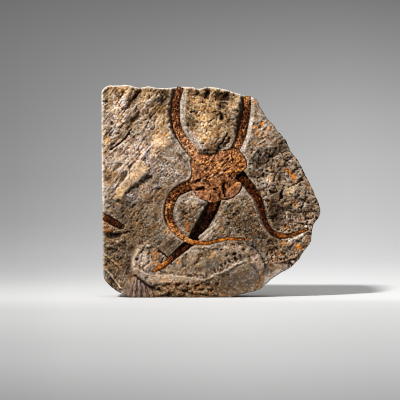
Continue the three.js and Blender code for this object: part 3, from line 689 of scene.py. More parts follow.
# upper right and right
ridge([(255, 146), (260, 142), (266, 138)], 0.9, 0.5, mask="pale", amount=0.9)
ridge([(260, 130), (264, 127), (267, 124)], 0.9, 0.4, mask="pale", amount=0.8)
hollow([(258, 150), (266, 146), (276, 148), (276, 160), (268, 166), (256, 168), (252, 158)], 0.9, 2.4, "dark", 0.55)
hollow([(269, 154), (273, 154), (273, 160), (269, 160)], 1.3, 0.9, "dark", 0.9)
hollow([(281, 139), (288, 141), (291, 150), (286, 151), (281, 145)], 0.7, 1.4, "dark", 0.5)
H += 0.9 * blob(269, 169, 3.2, 2.8)
M["tan"][:] = np.maximum(M["tan"], blob(269, 169, 3.2, 2.8))
table([(262, 178), (270, 176), (275, 182), (272, 189), (264, 190)], 0.7, 2.0, "pale", 0.45)
table([(279, 183), (292, 178), (303, 184), (306, 194), (296, 198), (284, 196)], 0.8, 2.4, "pale", 0.35)
hollow([(270, 192), (276, 190), (283, 196), (284, 214), (280, 230), (272, 228), (267, 214)], 0.9, 2.2, "dark", 0.8)
hollow([(286, 205), (292, 204), (293, 209), (288, 210)], 0.9, 1.0, "dark", 0.8)
ridge([(284, 213), (291, 211), (298, 208), (303, 209)], 1.2, 0.7, mask="pale", amount=0.7)
hollow([(300, 208), (314, 204), (316, 212), (303, 215)], 0.6, 1.4, "dark", 0.35)
ridge([(287, 240), (292, 238.6), (297, 237), (304, 233.5)], 1.3, 0.9, mask="chalk", amount=1.0)
ridge([(304, 227), (309, 222.5), (312, 220.5)], 1.2, 0.8, mask="pale", amount=1.0)
step([(286, 236), (284, 243), (280, 250), (279, 258)], 0.8, 8, 0.7, -1, 0.2)
hollow([(266, 238), (276, 240), (278, 248), (270, 252), (262, 248)], 0.6, 2.0, "dark", 0.35)

def seam(pts, width, depth, amount, mask="dark", wobble=0.35, taper=0.08):
    """A narrow line cut in, with a mask painted along it: the dark mask, the default, is painted shade in the cut; the
    blue mask is a stain.
    """
    tr = Track([(p[0], p[1]) for p in pts], width * 3 + 2)
    n = (perlin(tr.u / 4.1, tr.v / 4.1, 14) + 0.6 * perlin(tr.u / 1.9, tr.v / 1.9, 15)) * wobble
    f = np.exp(-((tr.d * tr.side + n) / (width * (0.9 + 0.5 * perlin(tr.u / 3.1, tr.v / 3.1, 16)))) ** 2) * ends(tr.t, taper)
    H[tr.sl] -= depth * f
    M[mask][tr.sl] = np.maximum(M[mask][tr.sl], amount * f)


# the pale flat bevel along the lower right edge
bevel = [(264, 273.5), (269, 270.4), (276, 268.4), (285, 267.4), (291, 267.2), (285, 271), (280, 273.6), (274, 277.6), (270, 280.6),
         (267, 283.6), (264, 286.6), (260, 289.6), (257.6, 290.4), (261.6, 285), (264.6, 279)]
table(bevel, -0.35, 0.9, "pale", 0.45)
seam([(290, 269.6), (284, 272.2), (277.6, 275.6), (271, 280.2), (265.6, 285.4), (260, 289.4)], 0.9, 0.5, 0.35, wobble=0.4)


# lower middle: a dished block edged by a long curved lip, broad and lined at the left, a thin crest at the right
dish = [(135, 258), (139, 250), (148, 244), (160, 241), (184, 248), (189, 251), (204, 247), (216, 247.4), (228, 243), (246, 243),
        (247.5, 259), (240, 262), (233, 264.6), (226, 269.4), (219, 272.4), (211, 276), (204, 278.6), (190, 277.4), (170, 274.4), (156, 274.2), (146, 272), (138, 267)]
H -= 0.85 * area(dish, 2.0) * (0.55 + 0.45 * sstep(246, 272, VV))
lip_band = [(132.6, 262), (135.6, 264.4), (139, 268.4), (146, 272.6), (156, 274.4), (171, 274.4), (183, 276.2), (196, 278), (205, 279),
        (205, 281.4), (190, 282), (167, 282.6), (154, 283), (142, 279.4), (134.4, 273.4), (131.8, 267)]
m = table(lip_band, 0.50, 1.2, "pale", 0.30)
M["pink"][:] = np.maximum(M["pink"], 0.15 * m)
for off, amp in ((0.4, 0.30), (1.7, -0.24), (2.7, 0.22), (3.8, -0.22), (4.8, 0.20), (5.9, -0.20), (6.9, 0.15)):
    line = [(136 - off * 0.55, 267.4 + off * 0.35), (140, 270.2 + off * 0.9), (146.5, 273.4 + off), (156, 275 + off * 0.95), (171, 275 + off * 0.9), (184, 276.8 + off * 0.55), (202, 279 + off * 0.2)]
    if amp > 0:
        ridge(line, 0.6, amp * 1.2, 0.9, "pale", 0.65, 0.06)
    else:
        seam(line, 0.55, -amp, 0.32, wobble=0.9)
ridge([(196, 278.4), (200, 279.2), (204, 279.6), (211, 276.4), (219.4, 272.8), (226.7, 269.7), (234, 264.7), (241.3, 261.9), (249.4, 259)], 1.15, 1.05, 0.45, "pale", 0.60, 0.04)
seam([(202, 282), (207, 280.6), (213, 278), (221, 274.6), (228, 271.4), (235, 267), (242, 264), (248, 261.4)], 1.7, 0.45, 0.20, wobble=0.8)
ridge([(150, 243), (145, 245.4), (140.4, 248.8), (136.6, 252.6), (134.2, 257), (133, 262), (132.8, 267)], 2.1, 0.9, 0.3, "pale", 0.55, 0.08)
seam([(149, 246.6), (144, 249), (140, 252.4), (137.4, 257), (136.4, 262)], 1.3, 0.5, 0.30)
ridge([(147, 247), (150.6, 244.6), (152.6, 241.8)], 0.8, 0.6, mask="pale", amount=0.6)
# a trough left of the block, dug in and painted dark: painted shade
tr = Track([(133, 243), (130, 250), (128.6, 258), (128.4, 267), (130.6, 275), (134, 280)], 9)
H[tr.sl] -= 0.75 * np.exp(-(tr.d / 2.6) ** 2) * ends(tr.t)
M["dark"][tr.sl] = np.maximum(M["dark"][tr.sl], 0.30 * np.exp(-(tr.d / 2.2) ** 2) * ends(tr.t))
seam([(133.4, 273.6), (137, 277.6), (141.7, 281.6), (148, 286), (155, 289.6)], 1.4, 1.1, 0.60, wobble=0.8)
hollow([(140, 281), (147, 283), (156, 285), (160, 289), (154, 291), (147, 288)], 0.8, 1.2, "dark", 0.9)
for u, v, ru, rv in ((158, 284.6, 3.4, 1.3), (168, 283.8, 2.4, 1.0), (176.6, 284.6, 3.2, 1.4), (187, 283.8, 3.0, 1.0), (196.6, 285, 3.4, 1.5), (207, 284, 3.6, 1.2), (216.6, 284, 2.4, 2.0)):
    pock(u, v, ru, rv, 0, 0.7, 0.45)
# the block inside the left end of the lip: wavy folds round a rusty nodule; the folds' troughs are painted darker and
# their crests paler, painted shade and painted highlight
block = area([(137, 257), (141, 251.6), (149, 248), (157, 250), (164, 256), (168, 261), (160, 268), (152, 273), (142, 269.6), (137.4, 264)], 1.6)
H += 0.55 * block
M["pink"][:] = np.maximum(M["pink"], 0.20 * block)
fold = np.cos((UU * 0.92 + VV * 0.36) / 0.92 + 2.6 * perlin(UU / 6.3, VV / 6.3, 305)) * area([(138.6, 256), (147, 250), (151.6, 254), (150.4, 264), (154, 270), (144, 270), (139, 265)], 1.0)
H += 0.24 * fold
M["dark"][:] = np.maximum(M["dark"], 0.35 * np.clip(-fold, 0, 1))
M["pale"][:] = np.maximum(M["pale"], 0.45 * np.clip(fold, 0, 1))
nr_ = np.hypot((UU - 155.3) / 1.0, (VV - 255.7) / 1.05) + 0.4 * perlin(UU / 2.4, VV / 2.4, 306)
H += 0.7 * np.clip(1 - (nr_ / 4.2) ** 2, 0, 1) - 0.45 * np.exp(-((nr_ - 4.3) / 0.55) ** 2)
# the groove round the nodule painted dark on its lower left side: painted shade
M["dark"][:] = np.maximum(M["dark"], 0.65 * np.exp(-((nr_ - 4.2) / 0.45) ** 2) * sstep(2.5, -1.5, (UU - 155.3) - (VV - 255.7)))
M["dark"][:] = np.maximum(M["dark"], 0.45 * np.exp(-((nr_ - 2.2) / 0.40) ** 2))
M["dark"][:] = np.maximum(M["dark"], 0.30 * np.exp(-(nr_ / 2.0) ** 2) * np.clip(0.5 + np.cos((UU - VV) / 0.42), 0, 1))
seam([(156.8, 250.2), (159.6, 251.2), (162.8, 253.2), (166.4, 256.4), (169, 259.6), (170.6, 263.4), (171, 265.6)], 0.85, 1.5, 1.0, wobble=0.2)
seam([(160.4, 263.4), (162, 259.6), (163.6, 256.6)], 0.7, 0.6, 0.55)
ridge([(163.6, 262.4), (165.2, 258.8), (166, 256)], 0.9, 0.5, mask="pale", amount=0.7)
# the rounded boulder and the flat ground right of it
H += 0.85 * area([(187.6, 256), (189, 251.4), (193, 248.6), (199, 248.6), (202.6, 251.4), (200, 256), (195.6, 262), (190, 267.6), (187, 266), (186.8, 260)], 1.6)
hollow([(199.6, 253), (203.6, 252.6), (202.6, 255.6), (198, 260), (194, 266), (192.4, 266.6), (195.6, 260)], 0.9, 1.0, "dark", 0.75)
hollow([(183.6, 256), (186.6, 252), (186.4, 258), (184.6, 266), (181, 270), (181.4, 263)], 0.8, 1.2, "dark", 0.65)
flat_ = area([(203, 250.6), (214, 249), (220.6, 253), (221.6, 262), (217, 270), (206, 275), (196, 273), (193, 268), (200, 259)], 1.8)
M["olive"][:] = np.maximum(M["olive"], 0.60 * flat_)
M["pink"][:] *= 1 - 0.8 * flat_
M["blue"][:] = np.maximum(M["blue"], 0.60 * blob(211.5, 263.4, 7.5, 5.0, -20))
for u, v, ru, rv in ((211, 256, 5, 2.4), (203.6, 258.6, 4, 1.6), (199, 263.6, 3.4, 1.4), (214.6, 252.4, 4, 1.4)):
    M["tan"][:] = np.maximum(M["tan"], 0.95 * blob(u, v, ru, rv, -30))
    tone_spots.append((u, v, ru, rv, 0.20))
    M["olive"][:] *= 1 - 0.6 * blob(u, v, ru, rv, -30)
# pebbly pinkish ground and its pits, the little teeth along the inside of the lip
peb = area([(223, 247), (229, 242.6), (238, 242.2), (241.6, 245), (239, 251), (231, 253), (224.6, 252)], 1.4)
H += 0.5 * peb
f1, gap, who = cells(2.6, 307, 1.3, 30)
H += peb * (0.55 * (0.5 - f1) + 0.4 * (who - 0.5))
M["pale"][:] = np.maximum(M["pale"], 0.42 * peb * sstep(0.35, 0.75, who))
M["pink"][:] = np.maximum(M["pink"], 0.65 * peb)
for u, v, ru, rv, dp, am in ((234.4, 253.6, 2.2, 1.5, 1.3, 0.9), (235.4, 259, 1.6, 2.4, 1.2, 0.85), (226, 255.4, 1.6, 1.2, 0.8, 0.5), (240.6, 255.4, 1.6, 2.6, 0.9, 0.6),
                             (221.4, 249.4, 1.6, 1.2, 0.8, 0.6), (243.4, 249, 1.4, 2.2, 0.8, 0.55), (230.2, 261.6, 1.2, 0.9, 0.7, 0.5)):
    pock(u, v, ru, rv, 20, dp, am)
for u, v, k in ((188.6, 275.0, 0.5), (191.0, 275.4, 0.8), (194.3, 275.2, 0.6), (196.4, 275.8, 1.0), (200.2, 275.6, 0.7), (202.8, 276.0, 0.5), (206.6, 275.4, 0.9)):
    pock(u, v, 0.9, 1.4 + 0.3 * k, 12 + 20 * k, 0.45 * k, 0.38 * k)
    ridge([(u + 1.3, 277.4), (u + 1.9, 272.6 + k)], 0.7, 0.35, mask="pale", amount=0.40 * k)
for i in range(5):
    u, v = 214.4 + 3.6 * i, 272.0 - 2.5 * i
    pock(u, v - 1.2, 1.1, 1.6, 30, 0.55, 0.42 + 0.12 * (i % 2))
    ridge([(u + 1.4, v - 0.6), (u + 2.2, v - 4.4 - i % 3)], 0.8, 0.5, mask="pale", amount=0.5)
# lower right: the seam from the tip of the loop arm down to the edge, with a beige ridge beside it
beige = [(243, 239.6), (246.6, 240.2), (251, 245), (256.6, 250.6), (260.6, 257), (263.4, 264.4), (264, 271), (259.4, 274.4), (257.4, 268), (254.2, 261.4), (250.4, 255.6), (247, 249.6), (243.6, 244)]
m = table(beige, 0.35, 0.8, "pale", 0.15)
M["pink"][:] = np.maximum(M["pink"], 0.80 * m * sstep(247, 253, VV))
M["blue"][:] = np.maximum(M["blue"], 0.85 * m * sstep(255, 249, VV))
across_b = np.cos((UU * 0.35 + VV * 0.94) / 0.85 + 2.2 * perlin(UU / 4.1, VV / 4.1, 311)) * m
H += 0.11 * across_b + 0.10 * m * perlin(UU / 3.1, VV / 3.1, 312)
# the cross grooves painted darker: painted shade
M["dark"][:] = np.maximum(M["dark"], 0.22 * np.clip(-across_b, 0, 1))
M["tan"][:] = np.maximum(M["tan"] * (1 - 0.8 * m), 0.35 * m * sstep(256, 262, VV))
seam([(243.6, 239.6), (246, 241.6), (248.6, 244.6), (252, 248.6), (256.6, 252.6)], 1.0, 0.35, 0.95, mask="blue")
seam([(251, 244.4), (255.6, 248.6), (259.6, 253.4), (262.6, 258.6), (264.6, 264), (265.6, 269.4)], 0.8, 0.7, 0.60, wobble=0.4)
tone_spots += [(289.6, 239.4, 3.4, 1.3, 0.50), (295.6, 237.6, 3.4, 1.2, 0.50), (301.6, 234.8, 3.2, 1.3, 0.50), (305.6, 226, 2.4, 1.5, 0.45), (310, 222, 2.2, 1.6, 0.45),
               (275, 209, 3, 2, 0.20), (284, 213.5, 4, 1.6, 0.30), (293, 210.5, 4, 1.6, 0.30), (272, 178, 3, 3, 0.15), (266, 181, 3, 3, 0.15)]
tone_spots += [(259, 264, 4, 8, -0.04), (146, 262, 8, 8, 0.10), (250, 246, 5, 5, -0.12), (254, 250, 4, 5, -0.10)]
seam([(247.6, 262), (251.4, 265), (255.4, 269.4), (258.8, 274.6), (260, 280), (258.4, 285.6), (253.6, 290.6)], 0.9, 0.35, 0.30, wobble=0.6)
seam([(248.6, 261.4), (252.4, 264.4), (256.6, 269), (259.8, 274.4)], 0.9, 0.1, 0.9, mask="blue")
M["tan"][:] = np.maximum(M["tan"], 0.75 * blob(243, 269.7, 7.5, 4.2, -20))
for u, v, ru, rv, am in ((233, 280, 7.5, 4.6, 0.40), (247.6, 286, 6, 3.4, 0.25), (255, 276, 2.4, 6, 0.5)):
    M["blue"][:] = np.maximum(M["blue"], am * blob(u, v, ru, rv, -25))
mott = area([(214, 281), (226, 274), (250, 263), (257, 268), (259, 279), (251, 290), (230, 296), (216, 292)], 2.0)
H += mott * (0.30 * fbm(6, 313, 3) + 0.16 * aniso(10, 2.4, 38, 314, 2))
spots = sstep(0.05, 0.45, fbm(6.5, 315, 3))
M["tan"][:] = np.maximum(M["tan"], 0.50 * mott * spots)
mott_tone = mott * (0.10 * fbm(10, 318, 3) + 0.16 * perlin(UU / 4.5, VV / 4.5, 319))
tone_spots += [(242, 271, 8, 5, 0.10), (224, 274.6, 4.5, 2.4, -0.22), (228, 289, 8, 3, -0.06), (244, 278, 6, 4, 0.06), (221, 284, 4, 4, -0.10)]
for u, v, ru, rv in ((223, 276.4, 2.2, 1.3), (228, 274.4, 1.6, 1.0), (218.6, 279.6, 2.0, 1.4)):
    pock(u, v, ru, rv, 25, 0.6, 0.5)
# lower left: two long scratches, lumps
scratches = []
for line in ([(104.6, 253.4), (109, 257), (115, 262.2), (121.2, 267.8)], [(105, 268), (108, 271.4), (112.4, 277), (117, 283), (120.8, 288.6)], [(106.6, 268.4), (110, 272.4), (114, 277.4)]):
    seam([(u - 1.0, v + 1.3) for u, v in line], 0.8, 0.25, 0.12)
    ridge(line, 0.85, 0.9, 0.15, "pale", 1.0, 0.05)
    scratches.append(line)
# lumps painted paler on their upper left, the side the light falls on: painted highlight
for u, v, r in ((112, 240.6, 3), (117.4, 242.4, 3.2), (122, 240, 2.4), (108.6, 246, 2.2)):
    H += 1.0 * blob(u, v, r, r * 0.75, -15)
    tone_spots.append((u - 0.5, v - 0.7, r * 0.8, r * 0.6, 0.22))
    M["pink"][:] = np.maximum(M["pink"], 0.7 * blob(u, v, r, r))
    H -= 0.8 * blob(u + 1.4, v + r * 0.9, r, 1.5, -10)
for u, v, ru, rv in ((114, 250, 6, 2.6), (124, 247, 3, 3.4), (108, 262.6, 2.6, 2), (120, 258, 3.4, 2), (113, 286, 3, 2)):
    pock(u, v, ru, rv, -20, 0.7, 0.45)
# bottom: a fan of striations, painted dark in the low stripes (painted shade) and pale on the high ones at the left
# (painted highlight)
ang = np.arctan2(UU - 139, VV - 258) * 40 + 1.1 * perlin(UU / 5.2, VV / 5.2, 308) + 0.8 * perlin(UU / 2.4, VV / 4.4, 309)
inside_fan = area([(134.4, 277.6), (138, 278.6), (143.4, 283), (149.6, 288.6), (153.6, 293), (153, 299), (127.6, 299), (130, 290), (132, 282.6)], 0.9)
stripe = 0.65 * np.cos(ang) + 0.35 * np.cos(2.7 * ang + 1.0)
H += inside_fan * (0.55 + 0.55 * stripe)
M["dark"][:] = M["dark"] * (1 - 0.8 * inside_fan) + inside_fan * 0.62 * sstep(0.05, -0.75, stripe)
M["pale"][:] = np.maximum(M["pale"] * (1 - 0.6 * inside_fan), inside_fan * 0.62 * sstep(0.25, 0.85, stripe) * sstep(147, 138, UU))
M["pink"][:] = np.maximum(M["pink"], 0.9 * inside_fan)
M["blue"][:] = np.maximum(M["blue"], 0.75 * inside_fan * sstep(136.5, 140, UU) * sstep(149, 144, UU) * sstep(0.35, -0.2, stripe))
# rubble between the lip and the base: lumps painted paler on their upper left, painted highlight, and dark in the dip
# below each, painted shadow
for u, v, r in ((160, 287, 3.4), (171, 289.4, 3.8), (183, 287, 3.4), (194, 290.4, 3.8), (205, 291.6, 3.4), (165, 292.4, 2.8), (178, 293.4, 2.6), (189, 286, 2.6), (213, 293, 3), (200, 287, 2.6), (210, 287.4, 2.4)):
    H += 0.95 * blob(u, v, r, r * 0.72, 15)
    M["pale"][:] = np.maximum(M["pale"], 0.30 * blob(u - 0.6, v - 0.6, r * 0.8, r * 0.5, 15))
    H -= 1.0 * blob(u + 1.4, v + r * 0.95, r * 1.1, 1.6, 5)
    M["dark"][:] = np.maximum(M["dark"], 0.42 * blob(u + 1.4, v + r * 0.95, r * 1.1, 1.3, 5))
    M["tan"][:] = np.maximum(M["tan"], 0.6 * blob(u, v, r, r * 0.8, 15))

# middle left: smooth upright hollow, and the ground around the second fragment
tr = Track([(131, 223), (133.5, 233), (134, 244), (133, 256)], 8)
H[tr.sl] -= 0.55 * np.exp(-(tr.d / 2.8) ** 2) * ends(tr.t)
smooth_band = np.zeros(UU.shape)
smooth_band[tr.sl] = np.exp(-(tr.d / 3.4) ** 2) * ends(tr.t)
wedge = [(103.4, 222), (109, 223.6), (114, 227), (112, 230.4), (106, 231), (103.4, 229)]
table(wedge, 0.55, 0.7)
# the hollow under the fragment's wedge, painted dark: painted shadow
hollow([(103, 231.5), (112, 231.6), (121, 232), (129, 230.5), (130, 232.5), (121, 235), (113, 239), (103, 236)], 1.3, 0.9, "dark", 0.8)
# cap the relief at 1.72 mm; the cut-back hole between the disc and the right arm's root is made after the disc's
# channel
H = np.minimum(H, 1.72)

# ---- the outer edge: chipped and rolled back -----------------------------------------------
_, edge_in = outline_distance(OUTLINE)
roll = 1.3 + 0.9 * fbm(9, 91, 2) + 0.5 * fbm(3, 92, 2)
left_cut = sstep(116, 105, UU) * sstep(86, 96, VV)
base_edge = sstep(290, 296.5, VV)
roll = roll * (1 - 0.55 * left_cut) * (1 - 0.4 * base_edge)
roll = np.clip(roll, 0.35, 3)
t = np.clip(edge_in / roll, 0, 1)
drop = (1 - np.sqrt(np.clip(1 - (1 - t) ** 2, 0, 1)))
H = H - drop * (0.55 + 0.5 * roll) * 0.8
right_chip = sstep(255, 300, UU + 0.4 * (250 - VV))
H -= 0.9 * right_chip * np.exp(-np.maximum(edge_in, 0) / 2.4)

rock_open = H.copy()

# ---- channels ------------------------------------------------------------------------------
order = ["arm_lower", "arm_upper_left", "arm_upper_right", "arm_right", "edge_arm_fragment", "arm_left_loop"]
near_fossil = np.full(UU.shape, 99.0)     # distance from the fossil's edge
MEETS = {"arm_left_loop": (0.15, 0.55), "arm_upper_right": (0.0, 0.25), "arm_right": (0.15, 0.15), "arm_lower": (0.0, 0.1), "edge_arm_fragment": (0.3, 0.1)}
runs_out = {"arm_upper_left": (181.6, 78), "arm_upper_right": (247.6, 88), "edge_arm_fragment": (94, 211.4)}
for name in order:
    rows = list(ARMS[name])
    if name == "edge_arm_fragment":
        rows = [runs_out[name] + rows[0][2:]] + rows
    elif name in runs_out:
        rows = rows + [runs_out[name] + rows[-1][2:]]
    tr = Track(rows, 16)
    hw = tr.col(2) / 2
    b = hw * STEP * ASPECT
    axis = tr.col(3) - b
    right = tr.side > 0
    up = np.where(right, MEETS.get(name, (0, 0))[1], MEETS.get(name, (0, 0))[0])
    hm = hw * np.sqrt(1 - up**2)
    meet = axis + up * b
    e = tr.d - hm
    gap_ = np.where(right, tr.col(6), tr.col(4))
    wall = np.where(right, tr.col(7), tr.col(5))
    chalk = np.where(right, tr.col(9), tr.col(8))
    wob = 1 + (0.50 - 0.25 * chalk) * perlin(tr.u / 4.3, tr.v / 4.3, 101) + 0.2 * perlin(tr.u / 1.7, tr.v / 1.7, 102)
    wall = wall * np.clip(wob, 0.4, 1.8) * (1 + 0.15 * chalk)
    h = H[tr.sl]
    w = np.clip((e - gap_) / wall, 0, 1)
    prof = w ** 1.15
    cut = meet - 0.12 + (h - meet + 0.12) * prof
    dome = b * np.sqrt(np.clip(1 - (tr.d / hw) ** 2, 0, 1))
    trough = np.maximum(axis - dome - 0.12, axis + dome - 0.30 + 1.6 * e * STEP)
    trough = np.where(up > 0, trough, axis - dome - 0.12)
    new = np.where(e > 0, cut, trough)
    H[tr.sl] = np.minimum(h, new)
    band = sstep(-0.1, 0.12, w) * (1 - sstep(0.92, 1.12, (e - gap_) / wall + 0.10 * perlin(tr.u / 2.1, tr.v / 2.1, 103)))
    # a raised lip at the top of each chalky wall, painted chalk-pale: the wall's colour and a painted highlight where
    # the lip catches the light; the wall and gap beside the arm are painted dark, more where the wall is broad: painted
    # shade
    lipb = np.exp(-(((e - gap_ - wall) / 0.7) ** 2))
    H[tr.sl] += 0.16 * lipb * chalk * (e > 0)
    c = np.maximum(band, 0.9 * lipb) * chalk * (e > 0)
    M["chalk"][tr.sl] = np.maximum(M["chalk"][tr.sl], c)
    dk = (1 - sstep(0.0, 1.0, w)) * (1 - chalk) * (e > -0.5)
    M["dark"][tr.sl] = np.maximum(M["dark"][tr.sl] * (1 - c), (0.45 + 0.45 * sstep(1.6, 3.4, wall)) * dk)
    near_fossil[tr.sl] = np.minimum(near_fossil[tr.sl], e)

sl, dd = outline_distance(DISC, 8)
e = -dd
wall = 1.1 + 0.8 * perlin(UU[sl] / 4, VV[sl] / 4, 111)
w = np.clip((e - 0.05) / np.clip(wall, 0.4, 2), 0, 1)
cut = np.where(e > 0, -1.9 + (H[sl] + 1.9) * w, -3.2)
H[sl] = np.minimum(H[sl], cut)
near_fossil[sl] = np.minimum(near_fossil[sl], e)
# the hole is cut in and painted wholly dark: painted shade
hole = area([(235.4, 175), (238, 172.6), (242.5, 171), (246, 173), (247.5, 178), (246, 182), (243.5, 184.5), (240, 182.6), (236.5, 180.6), (234.6, 178)], 0.8)
H = np.minimum(H, H * (1 - hole) - 5.0 * hole)
M["dark"][:] = np.maximum(M["dark"], hole)

# pale chalky rims along the disc and the loop arm, a little raised: the rock's pale colour, partly brightened as
# painted highlight where they catch the light; and the bright wedge beside the lower arm
def paint(pts, width, mask, amount, lift=0.0):
    tr = Track(pts, width * 2.5 + 1)
    n = 0.35 * perlin(tr.u / 2.2, tr.v / 2.2, 121)
    f = np.exp(-((tr.d + n) / width) ** 2) * ends(tr.t, 0.1)
    f = f * (near_fossil[tr.sl] > 0.1)
    M[mask][tr.sl] = np.maximum(M[mask][tr.sl], amount * f)
    M["dark"][tr.sl] *= 1 - 0.8 * amount * f
    H[tr.sl] += lift * f


paint([(186.5, 154), (188.8, 159), (190.4, 165), (190.6, 171), (189.6, 176), (186.6, 179.6), (182, 182.4)], 1.1, "chalk", 1.0, 0.25)
paint([(164.4, 199), (162.8, 205), (162, 212), (163, 219), (165.6, 225.6), (169.6, 231.4), (174.4, 236.4), (180, 240.8)], 0.9, "chalk", 0.75, 0.25)
paint([(226, 201.5), (231, 199), (236, 195.5), (240.5, 192), (243.5, 188), (245, 185)], 1.3, "chalk", 1.0, 0.2)
paint([(243, 151), (244.8, 156), (247.5, 161), (249.5, 166)], 1.5, "chalk", 0.9, 0.1)
wedge2 = area([(218, 220.5), (220, 225), (214, 230), (206, 235), (199, 239), (197.5, 237), (203, 232), (209, 227.5), (214, 224)], 0.8)
H = H * (1 - wedge2) + wedge2 * (H * 0.6 + 0.1)
M["chalk"][:] = np.maximum(M["chalk"], 0.95 * wedge2)
M["dark"] *= 1 - 0.9 * wedge2
strand = np.cos((UU * 0.62 + VV * 0.78) / 0.62 + 1.8 * perlin(UU / 5.1, VV / 5.1, 316)) * area([(219, 219), (222, 225), (216, 233), (200, 241), (196, 238), (203, 231), (212, 224)], 1.0)
H += 0.30 * strand
# the strands' grooves painted darker and less chalky: painted shade
M["chalk"][:] *= 1 - 0.55 * np.clip(-strand, 0, 1)
M["dark"][:] = np.maximum(M["dark"], 0.40 * np.clip(-strand, 0, 1))

# ---- stains ---------------------------------------------------------------------------------
def stain(pts, width, amount=1.0):
    tr = Track(pts, width * 2.5 + 1)
    n = 0.5 * perlin(tr.u / 1.9, tr.v / 1.9, 131)
    f = (1 - sstep(0.55, 1.25, (tr.d + n) / width)) * ends(tr.t, 0.02)
    M["orange"][tr.sl] = np.maximum(M["orange"][tr.sl], amount * f)


for pts, w_, a_ in (
    ([(260, 125.4), (263.6, 121.4)], 1.2, 1.0), ([(267.6, 128.4), (270, 127)], 1.2, 1.0),
    ([(252, 127), (259, 126)], 1.0, 0.55), ([(256, 131), (256, 137)], 0.9, 0.6), ([(254, 141), (254.4, 143)], 0.9, 0.9),
    ([(254.6, 116), (255.4, 118.6)], 0.8, 0.6), ([(253.6, 100), (255, 103)], 1.0, 0.8),
    ([(285.5, 168.5), (290, 172), (293, 176), (295.6, 180)], 1.5, 1.0), ([(286.4, 225), (288, 227.6)], 1.2, 0.95),
    ([(288.4, 220.4), (289.6, 222)], 0.9, 0.7), ([(296, 244), (299, 246.6), (301, 249)], 1.7, 1.0),
    ([(284, 240), (281.6, 246)], 1.3, 0.8), ([(279, 250), (281, 255)], 1.2, 0.7), ([(221.5, 295.6), (224.6, 294.6)], 1.1, 0.8),
    ([(103.8, 216.4), (105, 218.6)], 1.0, 1.0), ([(103.8, 228), (107, 230.8), (110, 231)], 1.1, 1.0),
    ([(104, 222), (104.6, 226)], 0.9, 0.9), ([(110, 227.6), (113.6, 228.8)], 0.8, 0.7), ([(114.6, 203), (118.6, 206)], 1.5, 0.45),
    ([(187.6, 221), (187, 227), (188.6, 232)], 1.6, 0.75), ([(152.4, 261.8), (155.4, 263.4), (158.4, 264.8)], 0.9, 1.0),
    ([(176, 263), (178.6, 260.6)], 1.3, 0.7), ([(203, 252), (199, 257), (194, 262)], 1.3, 0.22), ([(209, 250), (214, 251.4)], 1.1, 0.2),
    ([(261.6, 276), (261, 281), (257.6, 286.6)], 1.0, 0.30), ([(263, 274), (264.4, 277.4)], 1.0, 0.5), ([(246.6, 238.6), (250, 239.6)], 1.2, 0.7),
    ([(217, 229), (221, 227.6)], 0.9, 0.55), ([(232.5, 248), (229, 247)], 1.0, 0.35), ([(307, 181), (311, 190)], 1.2, 0.35),
    ([(166, 232), (171, 229)], 2.2, 0.4), ([(293, 200), (297, 206)], 1.3, 0.35), ([(268, 178), (270, 176)], 1.1, 0.5),
    ([(269, 203), (271, 199)], 1.1, 0.5), ([(305, 244), (309, 236)], 1.2, 0.4),
):
    stain(pts, w_, a_)
edge_patch = area([(102, 217.6), (107, 220.6), (112, 226), (113, 230), (108, 232.4), (102, 232)], 1.2)
M["orange"][:] = np.maximum(M["orange"], 0.30 * edge_patch * sstep(-0.1, 0.3, fbm(3.2, 322, 2)))
M["pale"][:] = np.maximum(M["pale"], 0.45 * edge_patch * sstep(0.0, -0.3, fbm(3.2, 322, 2)))
nod = (0.35 + 0.65 * sstep(2.0, 3.4, nr_)) * area([(151.5, 253), (153.5, 250.6), (157, 250.4), (159.4, 253), (159.6, 257), (157, 260), (153.4, 260), (151, 257)], 0.7)
M["orange"][:] = np.maximum(M["orange"], 0.46 * nod)
speck = sstep(0.30, 0.42, fbm(3.4, 141, 2)) * sstep(-0.1, 0.35, fbm(22, 142, 2) + 0.35 * knobbly - 0.1)
M["orange"][:] = np.maximum(M["orange"], 0.33 * speck * (1 - M["chalk"]))
M["orange"][:] = np.maximum(M["orange"], 0.30 * rubble * sstep(0.12, 0.34, fbm(3.0, 143, 2)))

M["tan"][:] = np.maximum(M["tan"], np.clip(bedded * (0.55 + 0.6 * fbm(13, 151, 2)) + crumbly * (0.75 + 0.4 * fbm(10, 152, 2))
                                          + grain_left * (0.22 + 0.3 * fbm(12, 153, 2)) + 0.12 + 0.2 * fbm(20, 154, 2), 0, 1))
M["olive"][:] = np.clip(lobe * 0.9 + area([(195, 255), (225, 250), (236, 262), (214, 272), (196, 270)], 4) * 0.4
                        + area([(224, 204), (256, 200), (262, 236), (222, 238)], 5) * 0.35
                        + area([(163, 240), (176, 236), (184, 244), (168, 254)], 4) * 0.5, 0, 1)

